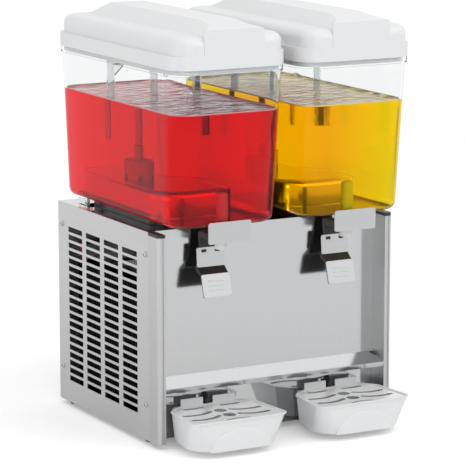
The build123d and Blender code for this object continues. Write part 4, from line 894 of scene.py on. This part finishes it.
@dataclass
class Studio:
    """Floor, lights, white surroundings and camera.

    Args:
        floor_m: Radius of the floor.
        floor_facets: Number of straight pieces in its rim.
        fade_m: Radii between which the floor fades out.
        camera_m: Place of the camera.
        turn_deg: How far the camera looks to the right of straight ahead.
        dip_deg: How far it looks down.
        lens_mm: Focal length.
        sensor_mm: Width of the camera's sensor.
        fill_light: Brightness of the surroundings for matt surfaces.
        floor_lift: What the floor gains to be white to the camera.
        aim_m: The point that the lamps face.
        lamps: The lamps.
    """

    floor_m: float = 2.2
    floor_facets: int = 64
    fade_m: tuple[float, float] = (0.6, 1.9)
    camera_m: tuple[float, float, float] = (-2.0845, -3.7999, 1.1218)
    turn_deg: float = 28.75
    dip_deg: float = 10.68
    lens_mm: float = 205.7
    sensor_mm: float = 36.0
    fill_light: float = 0.74
    floor_lift: float = 0.24
    aim_m: tuple[float, float, float] = (0.0, 0.0, 0.35)
    lamps: tuple[Lamp, ...] = (KEY_LAMP, LEFT_LAMP, TOP_LAMP, STRIP_LAMP)

    def make_floor(self) -> None:
        """Lay a white floor that fades into the white surroundings."""
        shape = bmesh.new()
        bmesh.ops.create_circle(shape, cap_ends=True, segments=self.floor_facets, radius=self.floor_m)
        mesh = bpy.data.meshes.new("floor")
        shape.to_mesh(mesh)
        shape.free()
        material = bpy.data.materials.new("white paper floor")
        material.use_nodes = True
        tree = material.node_tree
        tree.nodes.clear()
        where = add_node(tree, "ShaderNodeTexCoord", {})
        reach = add_node(tree, "ShaderNodeVectorMath", {0: where.outputs["Object"]}, operation="LENGTH")
        near, far = self.fade_m
        fade = add_node(tree, "ShaderNodeMapRange", {
            "Value": reach.outputs["Value"], "From Min": near, "From Max": far},
            interpolation_type="SMOOTHSTEP")
        paper = add_node(tree, "ShaderNodeBsdfDiffuse", {"Color": linear("FAFAFA")})
        path = add_node(tree, "ShaderNodeLightPath", {})
        lift = add_node(tree, "ShaderNodeMath", {0: path.outputs["Is Camera Ray"], 1: self.floor_lift},
                        operation="MULTIPLY")
        glow = add_node(tree, "ShaderNodeEmission", {"Color": WHITE, "Strength": lift.outputs[0]})
        white = add_node(tree, "ShaderNodeAddShader", {0: paper.outputs[0], 1: glow.outputs[0]})
        clear = add_node(tree, "ShaderNodeBsdfTransparent", {})
        mix = add_node(tree, "ShaderNodeMixShader", {
            0: fade.outputs[0], 1: white.outputs[0], 2: clear.outputs[0]})
        add_node(tree, "ShaderNodeOutputMaterial", {"Surface": mix.outputs[0]})
        mesh.materials.append(material)
        floor = bpy.data.objects.new("floor", mesh)
        bpy.context.scene.collection.objects.link(floor)

    def make_world(self) -> None:
        """Surround the scene with soft white, plain white to the camera and to reflections."""
        world = bpy.data.worlds.new("white studio")
        bpy.context.scene.world = world
        world.use_nodes = True
        tree = world.node_tree
        tree.nodes.clear()
        path = add_node(tree, "ShaderNodeLightPath", {})
        seen = path.outputs["Is Camera Ray"]
        for kind in ("Is Glossy Ray", "Is Transmission Ray"):
            either = add_node(tree, "ShaderNodeMath", {0: seen, 1: path.outputs[kind]}, operation="MAXIMUM")
            seen = either.outputs[0]
        strength = add_node(tree, "ShaderNodeMapRange", {
            "Value": seen, "To Min": self.fill_light, "To Max": 1.0})
        back = add_node(tree, "ShaderNodeBackground", {"Color": WHITE, "Strength": strength.outputs[0]})
        add_node(tree, "ShaderNodeOutputWorld", {"Surface": back.outputs[0]})

    def make_camera(self) -> None:
        """Stand the camera where the photograph was taken."""
        camera = bpy.data.cameras.new("camera")
        camera.lens = self.lens_mm
        camera.sensor_width = self.sensor_mm
        holder = bpy.data.objects.new("camera", camera)
        holder.location = self.camera_m
        holder.rotation_euler = (math.radians(90 - self.dip_deg), 0.0, math.radians(-self.turn_deg))
        bpy.context.scene.collection.objects.link(holder)
        bpy.context.scene.camera = holder

    def build(self) -> None:
        """Make the whole studio."""
        bpy.context.scene.view_settings.view_transform = "Standard"
        self.make_floor()
        self.make_world()
        for lamp in self.lamps:
            lamp.hang(Vector(self.aim_m))
        self.make_camera()


def main() -> None:
    """Load the machine, dress it and set up the studio."""
    logging.basicConfig(level=logging.INFO, format="%(name)s: %(message)s")
    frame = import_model()
    nodes = frame["nodes"]
    shop = FinishShop()
    Cabinet(nodes, shop).dress()
    CoolingPlant(nodes, shop).dress()
    Controls(nodes, shop).dress()
    drinks = {
        Side.LEFT: (RED_JUICE, RED_FOAM_AND_HIGHLIGHT, RED_RIPPLE, "juice_red"),
        Side.RIGHT: (YELLOW_JUICE, YELLOW_FOAM_AND_HIGHLIGHT, YELLOW_RIPPLE, "juice_yellow"),
    }
    for side, drink in drinks.items():
        BowlUnit(nodes, shop, side, *drink).dress()
        TapUnit(nodes, shop, side).dress()
        TrayUnit(nodes, shop, side).dress()
    Studio().build()


if __name__ == "__main__":
    main()
